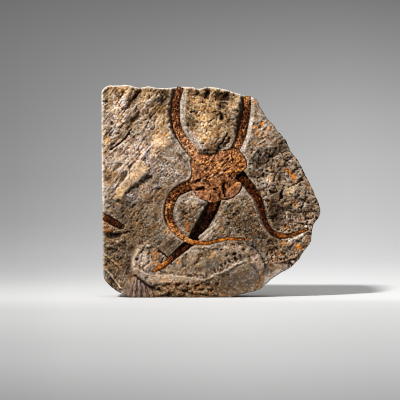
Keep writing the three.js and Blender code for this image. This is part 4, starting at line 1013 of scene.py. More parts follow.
for u, v, ru, rv, lean, amp in (
    (130, 120, 34, 28, 0, 0.10), (122, 168, 26, 20, -30, 0.12), (212, 112, 22, 24, 0, 0.04), (262, 125, 12, 20, -30, 0.08),
    (266, 156, 16, 13, -20, -0.28), (292, 200, 24, 30, 20, -0.15), (275, 212, 8, 20, 0, -0.22), (188, 212, 14, 18, 0, -0.14),
    (243, 216, 18, 18, 0, -0.24), (122, 216, 18, 10, 0, -0.22), (114, 262, 20, 26, 0, -0.25), (140, 228, 18, 14, 0, -0.08),
    (178, 289, 44, 9, 0, -0.20), (238, 282, 24, 13, -15, -0.26), (292, 255, 20, 16, -30, -0.10), (150, 228, 20, 16, 0, -0.14),
    (132, 118, 34, 28, 0, 0.06), (128, 172, 26, 20, -30, 0.03), (168, 170, 14, 16, 0, 0.04), (266, 158, 14, 12, 0, 0.12), (190, 214, 12, 14, 0, -0.12),
    (136, 226, 26, 18, 0, -0.10), (116, 262, 18, 24, 0, -0.12), (240, 216, 16, 16, 0, -0.07), (140, 288, 10, 9, 0, -0.30), (136, 224, 24, 18, 0, -0.08), (190, 214, 12, 14, 0, -0.06),
):
    tone += amp * blob(u, v, ru, rv, lean)
for u, v, ru, rv, amp in tone_spots:
    tone += amp * blob(u, v, ru, rv)
for line in scratches:
    tr = Track(line, 4)
    f = np.exp(-(tr.d / 0.70) ** 2) * ends(tr.t, 0.05)
    tone[tr.sl] += 0.30 * f
    M["pale"][tr.sl] = np.maximum(M["pale"][tr.sl], f)
    M["dark"][tr.sl] *= 1 - f
tone += mott_tone + 0.14 * area(bevel, 1.0) + 0.03 * area(lip_band, 1.0) + 0.10 * peb - 0.04 * flat_
tr = Track([(151, 243), (145, 245.4), (140, 248.8), (136, 253), (133.6, 258), (132.6, 264), (133, 270)], 8)
tone[tr.sl] += 0.20 * np.exp(-(tr.d / 2.6) ** 2) * ends(tr.t, 0.1)
tone = np.clip((tone - 1) * 1.7 + 0.30 * fbm(9, 161, 3), -1.4, 0.9)

# uneven tone in broad patches; the ground's warmth comes further on: rusty in the rubble, cool on the left and in the
# lobe
uneven = np.clip(1.0 * blob(168, 170, 17, 22) + 0.9 * blob(240, 217, 17, 18) + 0.9 * blob(190, 213, 14, 16) + 0.8 * blob(264, 130, 12, 22)
                 + 0.6 * blob(136, 224, 26, 18) + 0.6 * blob(266, 160, 14, 12), 0, 1)
tone += uneven * (0.22 * fbm(8, 323, 3) + 0.20 * perlin(UU / 3.4, VV / 3.4, 324)) + 0.20 * mott * fbm(12, 325, 2)
top_band = sstep(0.9, 2.0, edge_in) * sstep(7.5, 3.0, edge_in) * sstep(104, 97, VV) * sstep(252, 246, UU)
tone -= 0.16 * top_band * (0.7 + perlin(UU / 6, VV / 6, 326))
# broad patches made darker or lighter; some of the dark ones, beside the arms, are painted shade
for u, v, ru, rv, lean, amp in (
    (222.5, 145.5, 5, 5, 0, 0.60), (240, 243.5, 7, 3.5, 0, -0.75), (253, 239, 8, 6, 0, -0.45), (276, 238.5, 8, 4, 0, -0.75), (175, 291, 8, 4, 0, -0.26), (192, 258, 6, 5, 0, -0.26), (158, 206, 5, 9, 0, -0.50),
    (262, 150, 7, 7, 0, 0.50), (246, 155, 3.5, 6, 0, 0.35), (271, 201, 6, 6, 0, 0.45), (132, 252, 5, 9, -15, -0.42), (149, 161, 7, 6, 0, 0.36),
    (186, 96, 3.5, 8, 0, -0.38), (107, 238, 6, 7, 0, -0.38), (302, 206, 8, 8, 0, 0.34), (141, 223, 7, 6, 0, 0.34), (171, 184, 7, 4, -20, -0.34),
    (108, 273, 5, 8, 0, -0.34), (191, 226, 6, 5, 0, -0.34), (145, 195, 7, 6, 0, -0.34), (222, 236, 9, 2.6, 0, -0.34), (253, 110, 3.5, 9, 0, -0.28),
    (219, 148, 4, 4, 0, 0.40), (275, 202, 6, 5, 0, 0.28), (249, 227, 6, 6, 0, -0.36), (268, 143, 6, 5, 0, 0.28), (124, 157, 7, 4, -30, -0.32), (138, 183, 7, 4, -30, 0.28),
    (133, 144, 12, 8, -35, -0.13), (184, 213, 5, 6, 0, 0.32), (116, 248, 6, 5, 0, 0.32), (160, 102, 6, 8, 0, 0.28), (185, 246.5, 8, 3, 15, -0.30), (167, 112, 4, 8, 0, -0.28),
):
    tone += amp * blob(u, v, ru, rv, lean)
# painted shadow: dark bands along both sides of the lower arm, where the rock shades it
tr = Track([(213.5, 198), (209.5, 205), (204.5, 213), (199.5, 221), (195, 229)], 8)
shade_band = np.exp(-(tr.d / 2.6) ** 2) * ends(tr.t, 0.10)
tone[tr.sl] -= 0.75 * shade_band
M["chalk"][tr.sl] *= 1 - 0.8 * shade_band
tr = Track([(220, 202), (217.2, 209), (214.4, 215.5), (211, 221)], 7)
shade_band = np.exp(-(tr.d / 2.1) ** 2) * ends(tr.t, 0.10)
tone[tr.sl] -= 0.70 * shade_band
M["chalk"][tr.sl] *= 1 - 0.8 * shade_band
# thin bright chalky lines along the right of the two upper arms, where the wall faces the light: chalk colour and a
# painted highlight
for line in ([(182.2, 92), (180.8, 104), (180.6, 113), (182.4, 122), (185.8, 131), (190.8, 140.5), (196.4, 148.5)],
             [(252.2, 99), (251.8, 112), (250.2, 124), (247.6, 136), (245, 146), (243.6, 152)]):
    tr = Track(line, 4)
    f = np.exp(-((tr.d + 0.3 * perlin(tr.u / 2.4, tr.v / 2.4, 335)) / 0.95) ** 2) * ends(tr.t, 0.08) * (near_fossil[tr.sl] > 0.1)
    tone[tr.sl] += 0.30 * f
    M["chalk"][tr.sl] = np.maximum(M["chalk"][tr.sl], 0.95 * f)
    M["dark"][tr.sl] *= 1 - 0.85 * f
skirt = sstep(1.3, 2.2, near_fossil) * sstep(7.5, 4.0, near_fossil)
tone += 0.20 * skirt * perlin(UU / 2.3, VV / 2.3, 332)
M["chalk"][:] *= 1 - 0.45 * skirt * sstep(0.0, 0.3, perlin(UU / 2.5, VV / 2.5, 333))
M["dark"][:] *= 1 - 0.8 * blob(222.5, 145.5, 5, 5)
M["orange"][:] *= 1 - 0.5 * lobe
tone = np.clip(tone, -1.4, 0.9)
heat = 0.5 * fbm(14, 171, 3) - 0.04 + 0.75 * top_band
for u, v, ru, rv, lean, amp in (
    (132, 130, 32, 34, 0, -0.28), (124, 172, 26, 22, -30, -0.60), (168, 164, 20, 18, 0, -0.22), (140, 289, 11, 10, 0, -1.1), (210, 114, 24, 28, 0, 0.50),
    (182, 290, 42, 8, 0, 0.85), (190, 215, 14, 18, 0, 0.0), (236, 220, 20, 18, 0, 0.28), (136, 224, 30, 22, 0, 0.26),
    (116, 264, 20, 26, 0, 0.25), (206, 260, 34, 12, 0, 0.25), (236, 282, 20, 12, -15, -0.72), (284, 252, 24, 20, -30, 0.22),
    (286, 200, 26, 30, 20, 0.25), (160, 104, 9, 20, 0, 0.35), (146, 190, 15, 10, -20, -0.28),
):
    heat += amp * blob(u, v, ru, rv, lean)
M["blue"][:] = np.maximum(M["blue"], 0.30 * area(bevel, 1.0))
M["tan"][:] *= 1 - 0.8 * area(bevel, 1.0)
heat += -0.45 * area(bevel, 1.0) + 0.75 * area(strip, 1.5) + 0.22 * blob(126, 94, 16, 9) + 0.25 * blob(158, 134, 12, 9)
heat = np.clip(heat, -1.4, 1.4)

calm = np.clip(1 - rough_map, 0, 0.6)
busy = np.clip(blob(168, 172, 17, 20) + blob(189, 214, 14, 17) + blob(136, 224, 28, 20) + blob(240, 217, 17, 18) + blob(114, 254, 12, 14) + 0.6 * blob(252, 232, 12, 12), 0, 1)
calm = calm * (1 - 0.85 * busy)
for poly, feather, k in (
    ([(214, 279), (250, 262), (258, 266), (262, 280), (252, 291), (228, 297), (218, 292)], 3, 0.78),
    (lip_band, 1.2, 0.68), (beige, 1.0, 0.70), (bevel, 1.0, 0.65),
    ([(203, 251), (214, 249), (221, 253), (222, 262), (217, 270), (206, 275), (196, 273), (200, 260)], 2.0, 0.65),
    ([(187, 256), (190, 249), (199, 248), (203, 251), (196, 262), (190, 268)], 1.5, 0.60),
    ([(134, 256), (141, 247), (152, 246), (152, 270), (140, 270)], 2.0, 0.50),
    ([(130, 278), (150, 285), (154, 299), (127, 299)], 2.0, 0.70),
    (strip, 1.5, 0.45),
    ([(172, 126), (160, 152), (140, 164), (112, 172), (104, 170), (120, 156), (138, 142), (150, 130), (162, 122)], 5, 0.55),
    ([(126, 222), (138, 222), (140, 262), (130, 266)], 3, 0.50),
):
    calm = np.maximum(calm, k * area(poly, feather))
lined = np.clip(0.9 * bedded + 0.6 * grain_left + 0.7 * brushed + 0.9 * fine_ur + 0.3 * plain + 0.4 * lobe - 0.5 * area(strip, 1.5), 0, 1)

calm = np.maximum(calm, 0.70 * area([(113, 143), (128, 141), (140, 146), (136, 158), (120, 164), (108, 162)], 3))
M["orange"][:] *= 1 - 0.8 * area([(108, 143), (128, 138), (146, 140), (140, 160), (120, 168), (104, 166)], 3) - 0.8 * area(beige, 1.5) * sstep(266, 258, VV)
# ---- cavity measures, kept as masks -----------------------------------------------------------
H += skirt * (0.24 * perlin(UU / 1.3, VV / 1.3, 330) + 0.24 * perlin(UU / 2.7, VV / 2.7, 331))
H += 0.22 * np.clip(blob(266, 156, 18, 16) + blob(288, 204, 24, 30), 0, 1) * perlin(UU / 1.2, VV / 1.2, 334)
H += busy * (0.62 * perlin(UU / 1.15, VV / 1.15, 320) + 0.34 * perlin(UU / 2.0, VV / 2.0, 321)) + 0.42 * uneven * fbm(5.0, 327, 3)
H = np.minimum(H, 1.72)
# cav_s and cav_m drive the painted shade in hollows and the painted highlight on high ground
cav_s = H - blur(H, 0.8)
cav_m = H - blur(H, 3.0)


def sample(a, u, v):
    x = np.clip((np.asarray(u) - UA) * RS - 0.5, 0, a.shape[1] - 1.001)
    y = np.clip((np.asarray(v) - VA) * RS - 0.5, 0, a.shape[0] - 1.001)
    i, j = x.astype(int), y.astype(int)
    fx, fy = x - i, y - j
    return ((a[j, i] * (1 - fx) + a[j, i + 1] * fx) * (1 - fy)
            + (a[j + 1, i] * (1 - fx) + a[j + 1, i + 1] * fx) * fy)


# ------------------------------------------------------------------------------------------
# meshes
# ------------------------------------------------------------------------------------------
def add_mesh(name, verts_mm, tris, attrs, smooth=True):
    verts = np.asarray(verts_mm, np.float64) * 0.001
    tris = np.asarray(tris, np.int32)
    me = bpy.data.meshes.new(name)
    me.vertices.add(len(verts))
    me.vertices.foreach_set("co", verts.astype(np.float32).ravel())
    me.loops.add(tris.size)
    me.loops.foreach_set("vertex_index", tris.ravel())
    me.polygons.add(len(tris))
    me.polygons.foreach_set("loop_start", np.arange(0, tris.size, 3, dtype=np.int32))
    me.polygons.foreach_set("loop_total", np.full(len(tris), 3, np.int32))
    me.polygons.foreach_set("use_smooth", np.full(len(tris), smooth, bool))
    me.update(calc_edges=True)
    me.validate()
    for key, cols in attrs.items():
        at = me.attributes.new(key, "FLOAT_COLOR", "POINT")
        at.data.foreach_set("color", np.asarray(cols, np.float32).ravel())
    ob = bpy.data.objects.new(name, me)
    bpy.context.collection.objects.link(ob)
    return ob


def facing(P, tris, sign):
    """Turns the triangles so that their normals' y has the given sign."""
    a, b, c = P[tris[:, 0]], P[tris[:, 1]], P[tris[:, 2]]
    ny = (b[:, 2] - a[:, 2]) * (c[:, 0] - a[:, 0]) - (b[:, 0] - a[:, 0]) * (c[:, 2] - a[:, 2])
    bad = ny * sign < 0
    tris[bad] = tris[bad][:, ::-1]
    return tris


def fill(ring, pts):
    """Triangles over a closed ring and the loose points inside it, as indices into ring + pts."""
    n = len(ring)
    co = [Vector((float(a), float(b))) for a, b in np.vstack([ring, pts])] if len(pts) else [Vector((float(a), float(b))) for a, b in ring]
    out = delaunay_2d_cdt(co, [], [list(range(n))], 1, 1e-7)
    orig = [o[0] for o in out[3]]
    return np.array([[orig[i] for i in f] for f in out[2]], np.int32)


def resample(poly, spacing):
    P = np.array(list(poly) + [poly[0]], float)
    L = np.concatenate([[0], np.cumsum(np.hypot(*np.diff(P, axis=0).T))])
    n = int(round(L[-1] / spacing))
    s = np.arange(n) * L[-1] / n
    return np.stack([np.interp(s, L, P[:, 0]), np.interp(s, L, P[:, 1])], 1), s


def jitter_grid(spacing, seed, box):
    r = np.random.default_rng(seed)
    a = np.arange(box[0], box[1], spacing)
    b = np.arange(box[2], box[3], spacing * 0.866)
    g, h = np.meshgrid(a, b)
    g = g + (np.arange(len(b)) % 2)[:, None] * spacing / 2
    k = spacing * 0.22
    return np.stack([(g + r.uniform(-k, k, g.shape)).ravel(), (h + r.uniform(-k, k, h.shape)).ravel()], 1)


def nfv_of(a):
    return len(a)


# ---- slab ----------------------------------------------------------------------------------
ring, ring_s = resample(OUTLINE, 0.82)
base_pt = ring[:, 1] > 297.3
rn = np.roll(ring, -1, 0) - np.roll(ring, 1, 0)
rn = np.stack([rn[:, 1], -rn[:, 0]], 1) / np.hypot(rn[:, 0], rn[:, 1])[:, None]     # points outwards (clockwise plan)
chip = 0.42 * perlin(ring[:, 0] / 3.3, ring[:, 1] / 3.3, 201) + 0.3 * perlin(ring[:, 0] / 1.5, ring[:, 1] / 1.5, 202)
soft = sstep(108, 112, ring[:, 0]) * sstep(297.4, 293, ring[:, 1])
chip = np.minimum(chip, 0.12) * soft
ring = ring + rn * chip[:, None]
ring[:, 0] = np.clip(ring[:, 0], 101.3, 320.3)
ring[:, 1] = np.clip(ring[:, 1], 84.3, 297.4)

box = (100, 322, 83, 299)
parts = []
for spacing, seed, lo, hi in ((0.88, 301, 4.2, 1e9), (0.56, 302, -1.0, 4.2), (1.7, 303, -1e9, -1.0)):
    g = jitter_grid(spacing, seed, box)
    nf = sample(near_fossil, g[:, 0], g[:, 1])
    ei = sample(edge_in, g[:, 0], g[:, 1])
    parts.append(g[(nf >= lo) & (nf < hi) & (ei > 0.62)])
inner = np.vstack(parts)
Hs = blur(H, 0.22)
Pf = np.vstack([ring, inner])
hf = sample(Hs, Pf[:, 0], Pf[:, 1])
hf = np.minimum(hf, 1.76)
nr = len(ring)
reach = np.interp(Pf[:, 1], [95, 110, 140, 160, 197, 204, 209, 211, 230, 250, 270, 278, 284], [0, 0.2, 0.8, 1.4, 2.6, 1.5, 1.4, 0.5, 1.0, 1.5, 1.1, 0.6, 0.0])
pu = Pf[:, 0] - reach * np.exp(-np.maximum(Pf[:, 0] - 102.5, 0) / 9.0) * sstep(140, 125, Pf[:, 0])
front = np.stack([np.maximum(X(pu), X(101.3)), FACE_Y - hf, Z(Pf[:, 1])], 1)
front[:nr, 2] = np.where(base_pt, 0.0, front[:nr, 2])
tris_f = facing(front, fill(ring, inner), -1)

# sides: rings from the front edge to the back edge
ROWS = 22
xz = front[:nr][:, [0, 2]]
nn = np.stack([rn[:, 0], -rn[:, 1]], 1)
y0 = front[:nr, 1]
y1 = BACK_Y - 1.2 - 0.8 * np.clip(perlin(ring[:, 0] / 9, ring[:, 1] / 9, 205) + 0.3, 0, 1)
free = np.where(base_pt, 0, 1) * sstep(0, 3.0, xz[:, 1])
sawn = sstep(112, 107, ring[:, 0]) * sstep(282, 276, ring[:, 1]) * sstep(88, 94, ring[:, 1])
side = [front[:nr]]
side_in = [np.zeros(nr)]
for j in range(1, ROWS + 1):
    f = j / ROWS
    y = y0 + (y1 - y0) * f
    p = np.stack([xz[:, 0], y, xz[:, 1]], 1)
    bed = perlin3(np.stack([xz[:, 0] / 16, y / 1.5 + 3, xz[:, 1] / 16], 1), 211)
    bed2 = perlin3(np.stack([xz[:, 0] / 7, y / 0.8, xz[:, 1] / 7], 1), 212)
    n1 = fbm3(p, 9.0, 3, 213)
    n2 = fbm3(p, 2.4, 2, 214)
    d = -(0.75 + 1.3 * n1 + 0.7 * bed + 0.35 * bed2 + 0.45 * n2)
    d = np.minimum(d, 0.0) - 0.5 * sstep(0.72, 1.0, f)
    d = d * sstep(0, 0.08, f) * free * (1 - sawn) - 0.10 * sawn * free * (1 + perlin3(np.stack([xz[:, 0], y / 0.7, xz[:, 1] / 40], 1), 215)) * sstep(0, 0.08, f)
    q = xz + nn * d[:, None]
    q[:, 1] = np.where(base_pt, 0.0, np.maximum(q[:, 1], 0.0))
    side.append(np.stack([q[:, 0], y, q[:, 1]], 1))
    side_in.append(d)
# back: rough cleavage with flat high ground
ring_b = np.stack([U0 + side[-1][:, 0] / STEP, V0 - side[-1][:, 2] / STEP], 1)
gb = jitter_grid(1.9, 304, box)
_, db = None, sample(edge_in, gb[:, 0], gb[:, 1])
gb = gb[db > 4.2]
db = db[db > 4.2]
bp = np.stack([X(gb[:, 0]), np.zeros(len(gb)), Z(gb[:, 1])], 1)
lowland = fbm3(bp, 26, 3, 221) + 0.45 * fbm3(bp, 7, 3, 222)
depth = np.clip(0.55 * lowland + 0.12, 0, 1.6) * 1.5
terr = perlin3(bp / 15 + 5, 223)
terr2 = perlin3(bp / np.array([34, 1, 20]) + 9, 225)
depth = depth + 0.55 * sstep(0.05, 0.16, terr) + 0.45 * sstep(0.08, 0.14, terr2) + 0.16 * np.abs(fbm3(bp, 3.4, 3, 224))
depth = depth + 1.6 * np.exp(-np.maximum(db - 3, 0) / 2.2)
back = np.stack([X(gb[:, 0]), BACK_Y - np.maximum(depth, 0), Z(gb[:, 1])], 1)
nb0 = len(front) + nr * (ROWS - 1)
verts = np.vstack([front] + side[1:] + [back])
first_back_ring = len(front) + nr * (ROWS - 1)
tb = fill(ring_b, gb)
tb = np.where(tb < nr, tb + first_back_ring, tb - nr + len(front) + nr * ROWS).astype(np.int32)
tb = facing(verts, tb, 1)
quads = []
for j in range(ROWS):
    a0 = 0 if j == 0 else len(front) + nr * (j - 1)
    b0 = len(front) + nr * j
    i = np.arange(nr)
    k = (i + 1) % nr
    quads.append(np.stack([a0 + i, b0 + i, a0 + k], 1))
    quads.append(np.stack([a0 + k, b0 + i, b0 + k], 1))
ts = np.vstack(quads)
mid = verts[ts].mean(1)
nrm = np.cross(verts[ts[:, 1]] - verts[ts[:, 0]], verts[ts[:, 2]] - verts[ts[:, 0]])
if np.mean(nrm[:, 0] * (mid[:, 0]) + nrm[:, 2] * (mid[:, 2] - 54)) < 0:
    ts = ts[:, ::-1]
tris = np.vstack([tris_f, ts, tb])

nv = len(verts)
A0, A1, A2, A3 = (np.zeros((nv, 4)) for _ in range(4))
A3[:, 0] = 0.5
A3[:, 2] = 0.42
A3[:, 3] = 0.35
A3[:nfv_of(front), 0] = 0.5 + sample(tone, Pf[:, 0], Pf[:, 1]) / 3.0
A3[:, 1] = 0.55
A3[:nfv_of(front), 1] = 0.5 + sample(heat, Pf[:, 0], Pf[:, 1]) / 3.0
nfv = len(front)
for k, name in enumerate(("tan", "dark", "chalk", "orange")):
    A0[:nfv, k] = sample(M[name], Pf[:, 0], Pf[:, 1])
A3[:nfv, 2] = sample(calm, Pf[:, 0], Pf[:, 1])
A3[:nfv, 3] = sample(lined, Pf[:, 0], Pf[:, 1])
for k, name in enumerate(("olive", "pale", "pink", "blue")):
    A1[:nfv, k] = sample(M[name], Pf[:, 0], Pf[:, 1])
A2[:nfv, 0] = np.clip(0.5 + sample(cav_s, Pf[:, 0], Pf[:, 1]) * 1.25, 0, 1)
A2[:nfv, 1] = np.clip(0.5 + sample(cav_m, Pf[:, 0], Pf[:, 1]) * 0.50, 0, 1)
A2[:nfv, 2] = np.clip(sample(bedded + grain_left * 0.5 + crumbly, Pf[:, 0], Pf[:, 1]), 0, 1)
# rim: a painted highlight along the top edge and down the left side, the edges that face the light
on_left = sstep(108, 106, Pf[:, 0]) * sstep(88, 92, Pf[:, 1])
lit_edge = np.clip(sstep(104, 98, Pf[:, 1]) * sstep(256, 250, Pf[:, 0]) + on_left * (0.42 + 0.33 * sstep(208, 198, Pf[:, 1])) * sstep(285, 270, Pf[:, 1]), 0, 1)
A2[:nfv, 3] = np.exp(-np.maximum(sample(edge_in, Pf[:, 0], Pf[:, 1]) - 0.7 - 0.35 * on_left * sstep(208, 198, Pf[:, 1]), 0) / 0.55) * lit_edge
# sides: recessed parts painted darker, painted shade; the painted edge highlight runs onto the first rows
for j in range(1, ROWS + 1):
    s0 = nfv + nr * (j - 1)
    d = side_in[j]
    A0[s0:s0 + nr, 0] = 0.35 + 0.3 * perlin3(side[j] / 9, 231)
    A0[s0:s0 + nr, 1] = np.clip(-d * 0.22 - 0.2, 0, 0.5)
    A0[s0:s0 + nr, 2] = 0.55 * sawn
    A2[s0:s0 + nr, 0] = np.clip(0.75 + 0.35 * d, 0, 1)
    A2[s0:s0 + nr, 1] = np.clip(0.72 + 0.25 * d, 0, 1)
    A2[s0:s0 + nr, 2] = 0.5
    A2[s0:s0 + nr, 3] = (A2[:nr, 3] * (1.0, 0.6, 0.25)[j - 1]) if j < 4 else 0
for j in range(1, ROWS + 1):
    s0 = nfv + nr * (j - 1)
    A3[s0:s0 + nr, 0] = np.clip(0.5 + 0.10 * fbm3(side[j], 16, 3, 235) + 0.05 * perlin3(side[j] / np.array([22, 1.6, 22]), 236), 0.1, 0.8)
    A3[s0:s0 + nr, 1] = 0.55 + 0.14 * fbm3(side[j], 20, 2, 237)
    A3[s0:s0 + nr, 2] = np.clip(0.45 + 0.45 * fbm3(side[j], 11, 2, 238), 0, 0.8)
s0 = nfv + nr * ROWS
A3[s0:, 0] = np.clip(0.50 + 0.16 * fbm3(back, 30, 4, 239) - 0.03 * (depth - 0.8), 0.1, 0.8)
A3[s0:, 1] = 0.55 + 0.16 * fbm3(back, 24, 3, 240)
A3[s0:, 2] = np.clip(0.60 + 0.50 * fbm3(back, 16, 3, 241), 0, 0.88)
A3[s0:, 3] = np.clip(0.3 + 0.5 * fbm3(back, 28, 2, 242), 0, 0.8)
A1[s0:, 0] = 0.5 * sstep(0.05, 0.35, fbm3(back, 34, 3, 243))
step_line = np.exp(-((terr - 0.11) / 0.045) ** 2) + 0.8 * np.exp(-((terr2 - 0.11) / 0.035) ** 2)
step_lip = np.exp(-((terr - 0.22) / 0.05) ** 2) + 0.8 * np.exp(-((terr2 - 0.20) / 0.04) ** 2)
A1[s0:, 1] = 0.06 * np.clip(step_lip, 0, 1)
A1[s0:, 2] = 0.4 * sstep(0.10, 0.40, fbm3(back, 22, 3, 244))
A0[s0:, 0] = np.clip(0.35 + 0.4 * fbm3(back, 18, 2, 232), 0, 1)
# deeper ground and the terrace edges painted darker, here and in the cavity values below: painted shade
A0[s0:, 1] = np.clip(np.clip(depth * 0.22 - 0.1, 0, 0.4) + 0.12 * np.clip(step_line, 0, 1), 0, 0.8)
A0[s0:, 3] = 0.35 * sstep(0.25, 0.5, fbm3(back, 12, 3, 233))
A2[s0:, 0] = np.clip(0.6 - 0.2 * (depth - 0.8), 0, 1)
A2[s0:, 1] = np.clip(0.62 - 0.14 * (depth - 0.8), 0, 1)
A2[s0:, 2] = 0.4
slab = add_mesh("slab_stone", verts, tris, {"rock_a": A0, "rock_b": A1, "rock_c": A2, "rock_d": A3})
print("slab", len(verts), len(tris))

# ---- disc ----------------------------------------------------------------------------------
ROCK = H, M
H = np.full(UU.shape, -1.0)
M = {k: np.zeros(UU.shape) for k in M}
sld, din = outline_distance(DISC, 6)
full_in = np.full(UU.shape, -6.0)
full_in[sld] = din
H += 1.05 * (1 - np.exp(-np.maximum(full_in, 0) / 3.0))
H += 0.55 * blob(219, 167, 15, 12) + 0.35 * blob(240, 161, 6, 7) - 0.35 * blob(204, 181, 12, 5, -15) + 0.25 * blob(230, 158, 8, 8)
fib = area([(205, 152), (232, 148), (245, 156), (245, 168), (232, 180), (206, 178), (198, 168)], 4)
H += fib * (0.40 * aniso(9, 3.4, 42, 401, 2, ridged=True) + 0.20 * aniso(5, 1.9, 60, 403, 2, ridged=True) - 0.25)
f1, gap, who = cells(2.5, 405, 1.3, 42)
H += 0.46 * ((who - 0.5) * sstep(0, 0.4, gap)) - 0.26 * (1 - sstep(0, 0.3, gap))
f1, gap, who = cells(1.5, 406, 1.1, 20)
H += 0.18 * (0.5 - f1)
H += 0.62 * fbm(4.6, 407, 3) + 0.35 * fbm(9, 415, 2)
lower_lobe = area([(193, 188), (199, 187), (205, 190), (210, 193), (210.6, 202), (205, 201), (199, 198.5), (195, 194)], 1.2)
H = H * (1 - 0.45 * lower_lobe) + lower_lobe * 0.25
crack([(201, 153), (198.4, 155.6), (195.6, 158.8), (193.6, 161.5)], 1.5, 2.0, wobble=0.3)
hollow([(199.2, 152), (202, 153.5), (200, 157), (197, 157.4)], 1.0, 0.6, "dark", 0.8)
crack([(232, 150), (231, 155), (232.4, 159), (232.6, 163)], 1.1, 0.9)
crack([(229, 156.5), (226.4, 161), (223.2, 165), (221, 168)], 1.3, 1.1)
crack([(219, 172), (214, 175), (208, 178.6), (202, 180)], 1.1, 0.8)
crack([(236, 170), (231, 174), (228.6, 178)], 1.2, 1.0)
crack([(207, 160), (203, 163), (199, 166)], 1.0, 0.7)
crack([(215, 156.6), (211, 161), (208.4, 166)], 0.8, 0.5)
ridge([(208.4, 174), (213, 171), (218.6, 168.6), (222.6, 167)], 0.9, 0.5, mask="orange", amount=0.8)
ridge([(226, 172.4), (231, 170.4), (236, 169.8), (240, 167.4)], 0.9, 0.55, mask="orange", amount=0.9)
ridge([(240.4, 155.6), (243.6, 158), (245.4, 162), (245, 166.6), (242.2, 169.4), (238.4, 170.6)], 1.2, 0.7, 0.3, "orange", 1.0, 0.05)
ridge([(241.6, 159.4), (242.6, 163), (240.4, 166.6), (237, 168)], 0.8, 0.4, mask="orange", amount=0.7)
ridge([(233, 158.6), (237.6, 156.6), (240.6, 157.6)], 0.9, 0.4, mask="orange", amount=0.5)
ridge([(202, 162.4), (206.6, 161.4), (210, 163)], 1.0, 0.5, mask="orange", amount=0.8)
ridge([(217, 160), (221.6, 156.4), (226, 152.6)], 1.0, 0.4, mask="pink", amount=0.6)
crack([(201.4, 177.4), (197.6, 180), (193.6, 182.3), (189.4, 183.6), (184, 185.4)], 2.1, 1.9, wobble=0.35)
pock(200.6, 187.9, 4.2, 1.7, 8, 2.0, 1.0)
pock(196.8, 189.4, 1.8, 1.2, 0, 1.0, 0.7)
pock(204.4, 189.2, 1.7, 1.3, 30, 1.2, 0.7)
pock(214.2, 189.2, 2.1, 1.6, -20, 1.7, 1.0)
pock(217.0, 187.4, 1.3, 1.0, 0, 0.8, 0.6)
pock(209.6, 184.4, 2.2, 0.9, -20, 0.8, 0.6)
pock(223.4, 187.0, 2.1, 8.0, 8, 1.5, 0.9)
pock(226.0, 182.6, 2.4, 2.0, 0, 0.9, 0.7)
pock(219.8, 194.6, 1.1, 4.0, 0, 0.9, 0.6)
pock(210.2, 196.6, 0.9, 3.4, 4, 0.8, 0.6)
pock(231.0, 176.6, 3.6, 1.0, -45, 0.8, 0.6)
pock(196.4, 156.0, 1.8, 2.4, -40, 1.0, 0.8)
pock(205.4, 158.6, 1.1, 0.8, 0, 0.7, 0.6)
pock(212.6, 166.8, 1.0, 0.7, 0, 0.6, 0.5)
pock(235.4, 165.4, 1.2, 0.7, -45, 0.6, 0.5)
pock(224.6, 175.6, 1.3, 0.8, -20, 0.6, 0.5)
pock(202.2, 171.2, 1.6, 0.7, -40, 0.6, 0.5)
hollow([(203, 180.6), (209, 180), (212, 182), (208, 184.6), (203, 183.6)], 0.8, 0.8, "dark", 0.5)
hollow([(205.6, 176), (208.6, 175.4), (208, 178), (205.4, 178.4)], 0.8, 0.6, "dark", 0.6)
crack([(224.6, 179.6), (223.6, 184), (222.8, 188.6), (223.2, 192.4), (225.6, 197.6)], 1.6, 1.2, wobble=0.9, taper=0.06)
# the oval plate at the lower right
c50, s50 = math.cos(math.radians(50)), math.sin(math.radians(50))
pa = ((UU - 233.6) * c50 - (VV - 189.6) * s50) / 10.2
pb = ((UU - 233.6) * s50 + (VV - 189.6) * c50) / 4.9
oval = np.sqrt(pa**2 + pb**2)
om = 1 - sstep(0.92, 1.06, oval)
H = H * (1 - 0.45 * om) + om * (0.10 + 0.30 * aniso(7, 1.8, 55, 317, 2, ridged=True) + 0.70 * np.sqrt(np.clip(1 - np.minimum(oval, 1) ** 2, 0, 1)) - 0.25 * np.exp(-(pb / 0.35) ** 2))
H -= 0.7 * np.exp(-((oval - 1.10) / 0.12) ** 2) * (pb > -0.2)
M["dark"][:] = np.maximum(M["dark"], 0.8 * np.exp(-((oval - 1.08) / 0.12) ** 2) * (pb > 0.1))
M["pink"][:] = np.maximum(M["pink"], np.maximum(0.7 * om, 0.5 * lower_lobe))
M["orange"][:] = np.maximum(M["orange"], 0.38 * area([(238, 153), (247, 158), (247, 168), (238, 171), (233, 164)], 2.0))
M["orange"][:] = np.maximum(M["orange"], 0.35 * fib * sstep(0.0, 0.4, fbm(6, 409, 2)))
H = np.minimum(H, 1.2)
HD, MD = blur(H, 0.12), M
cavd_s, cavd_m = HD - blur(HD, 0.8), HD - blur(HD, 2.6)
H, M = ROCK

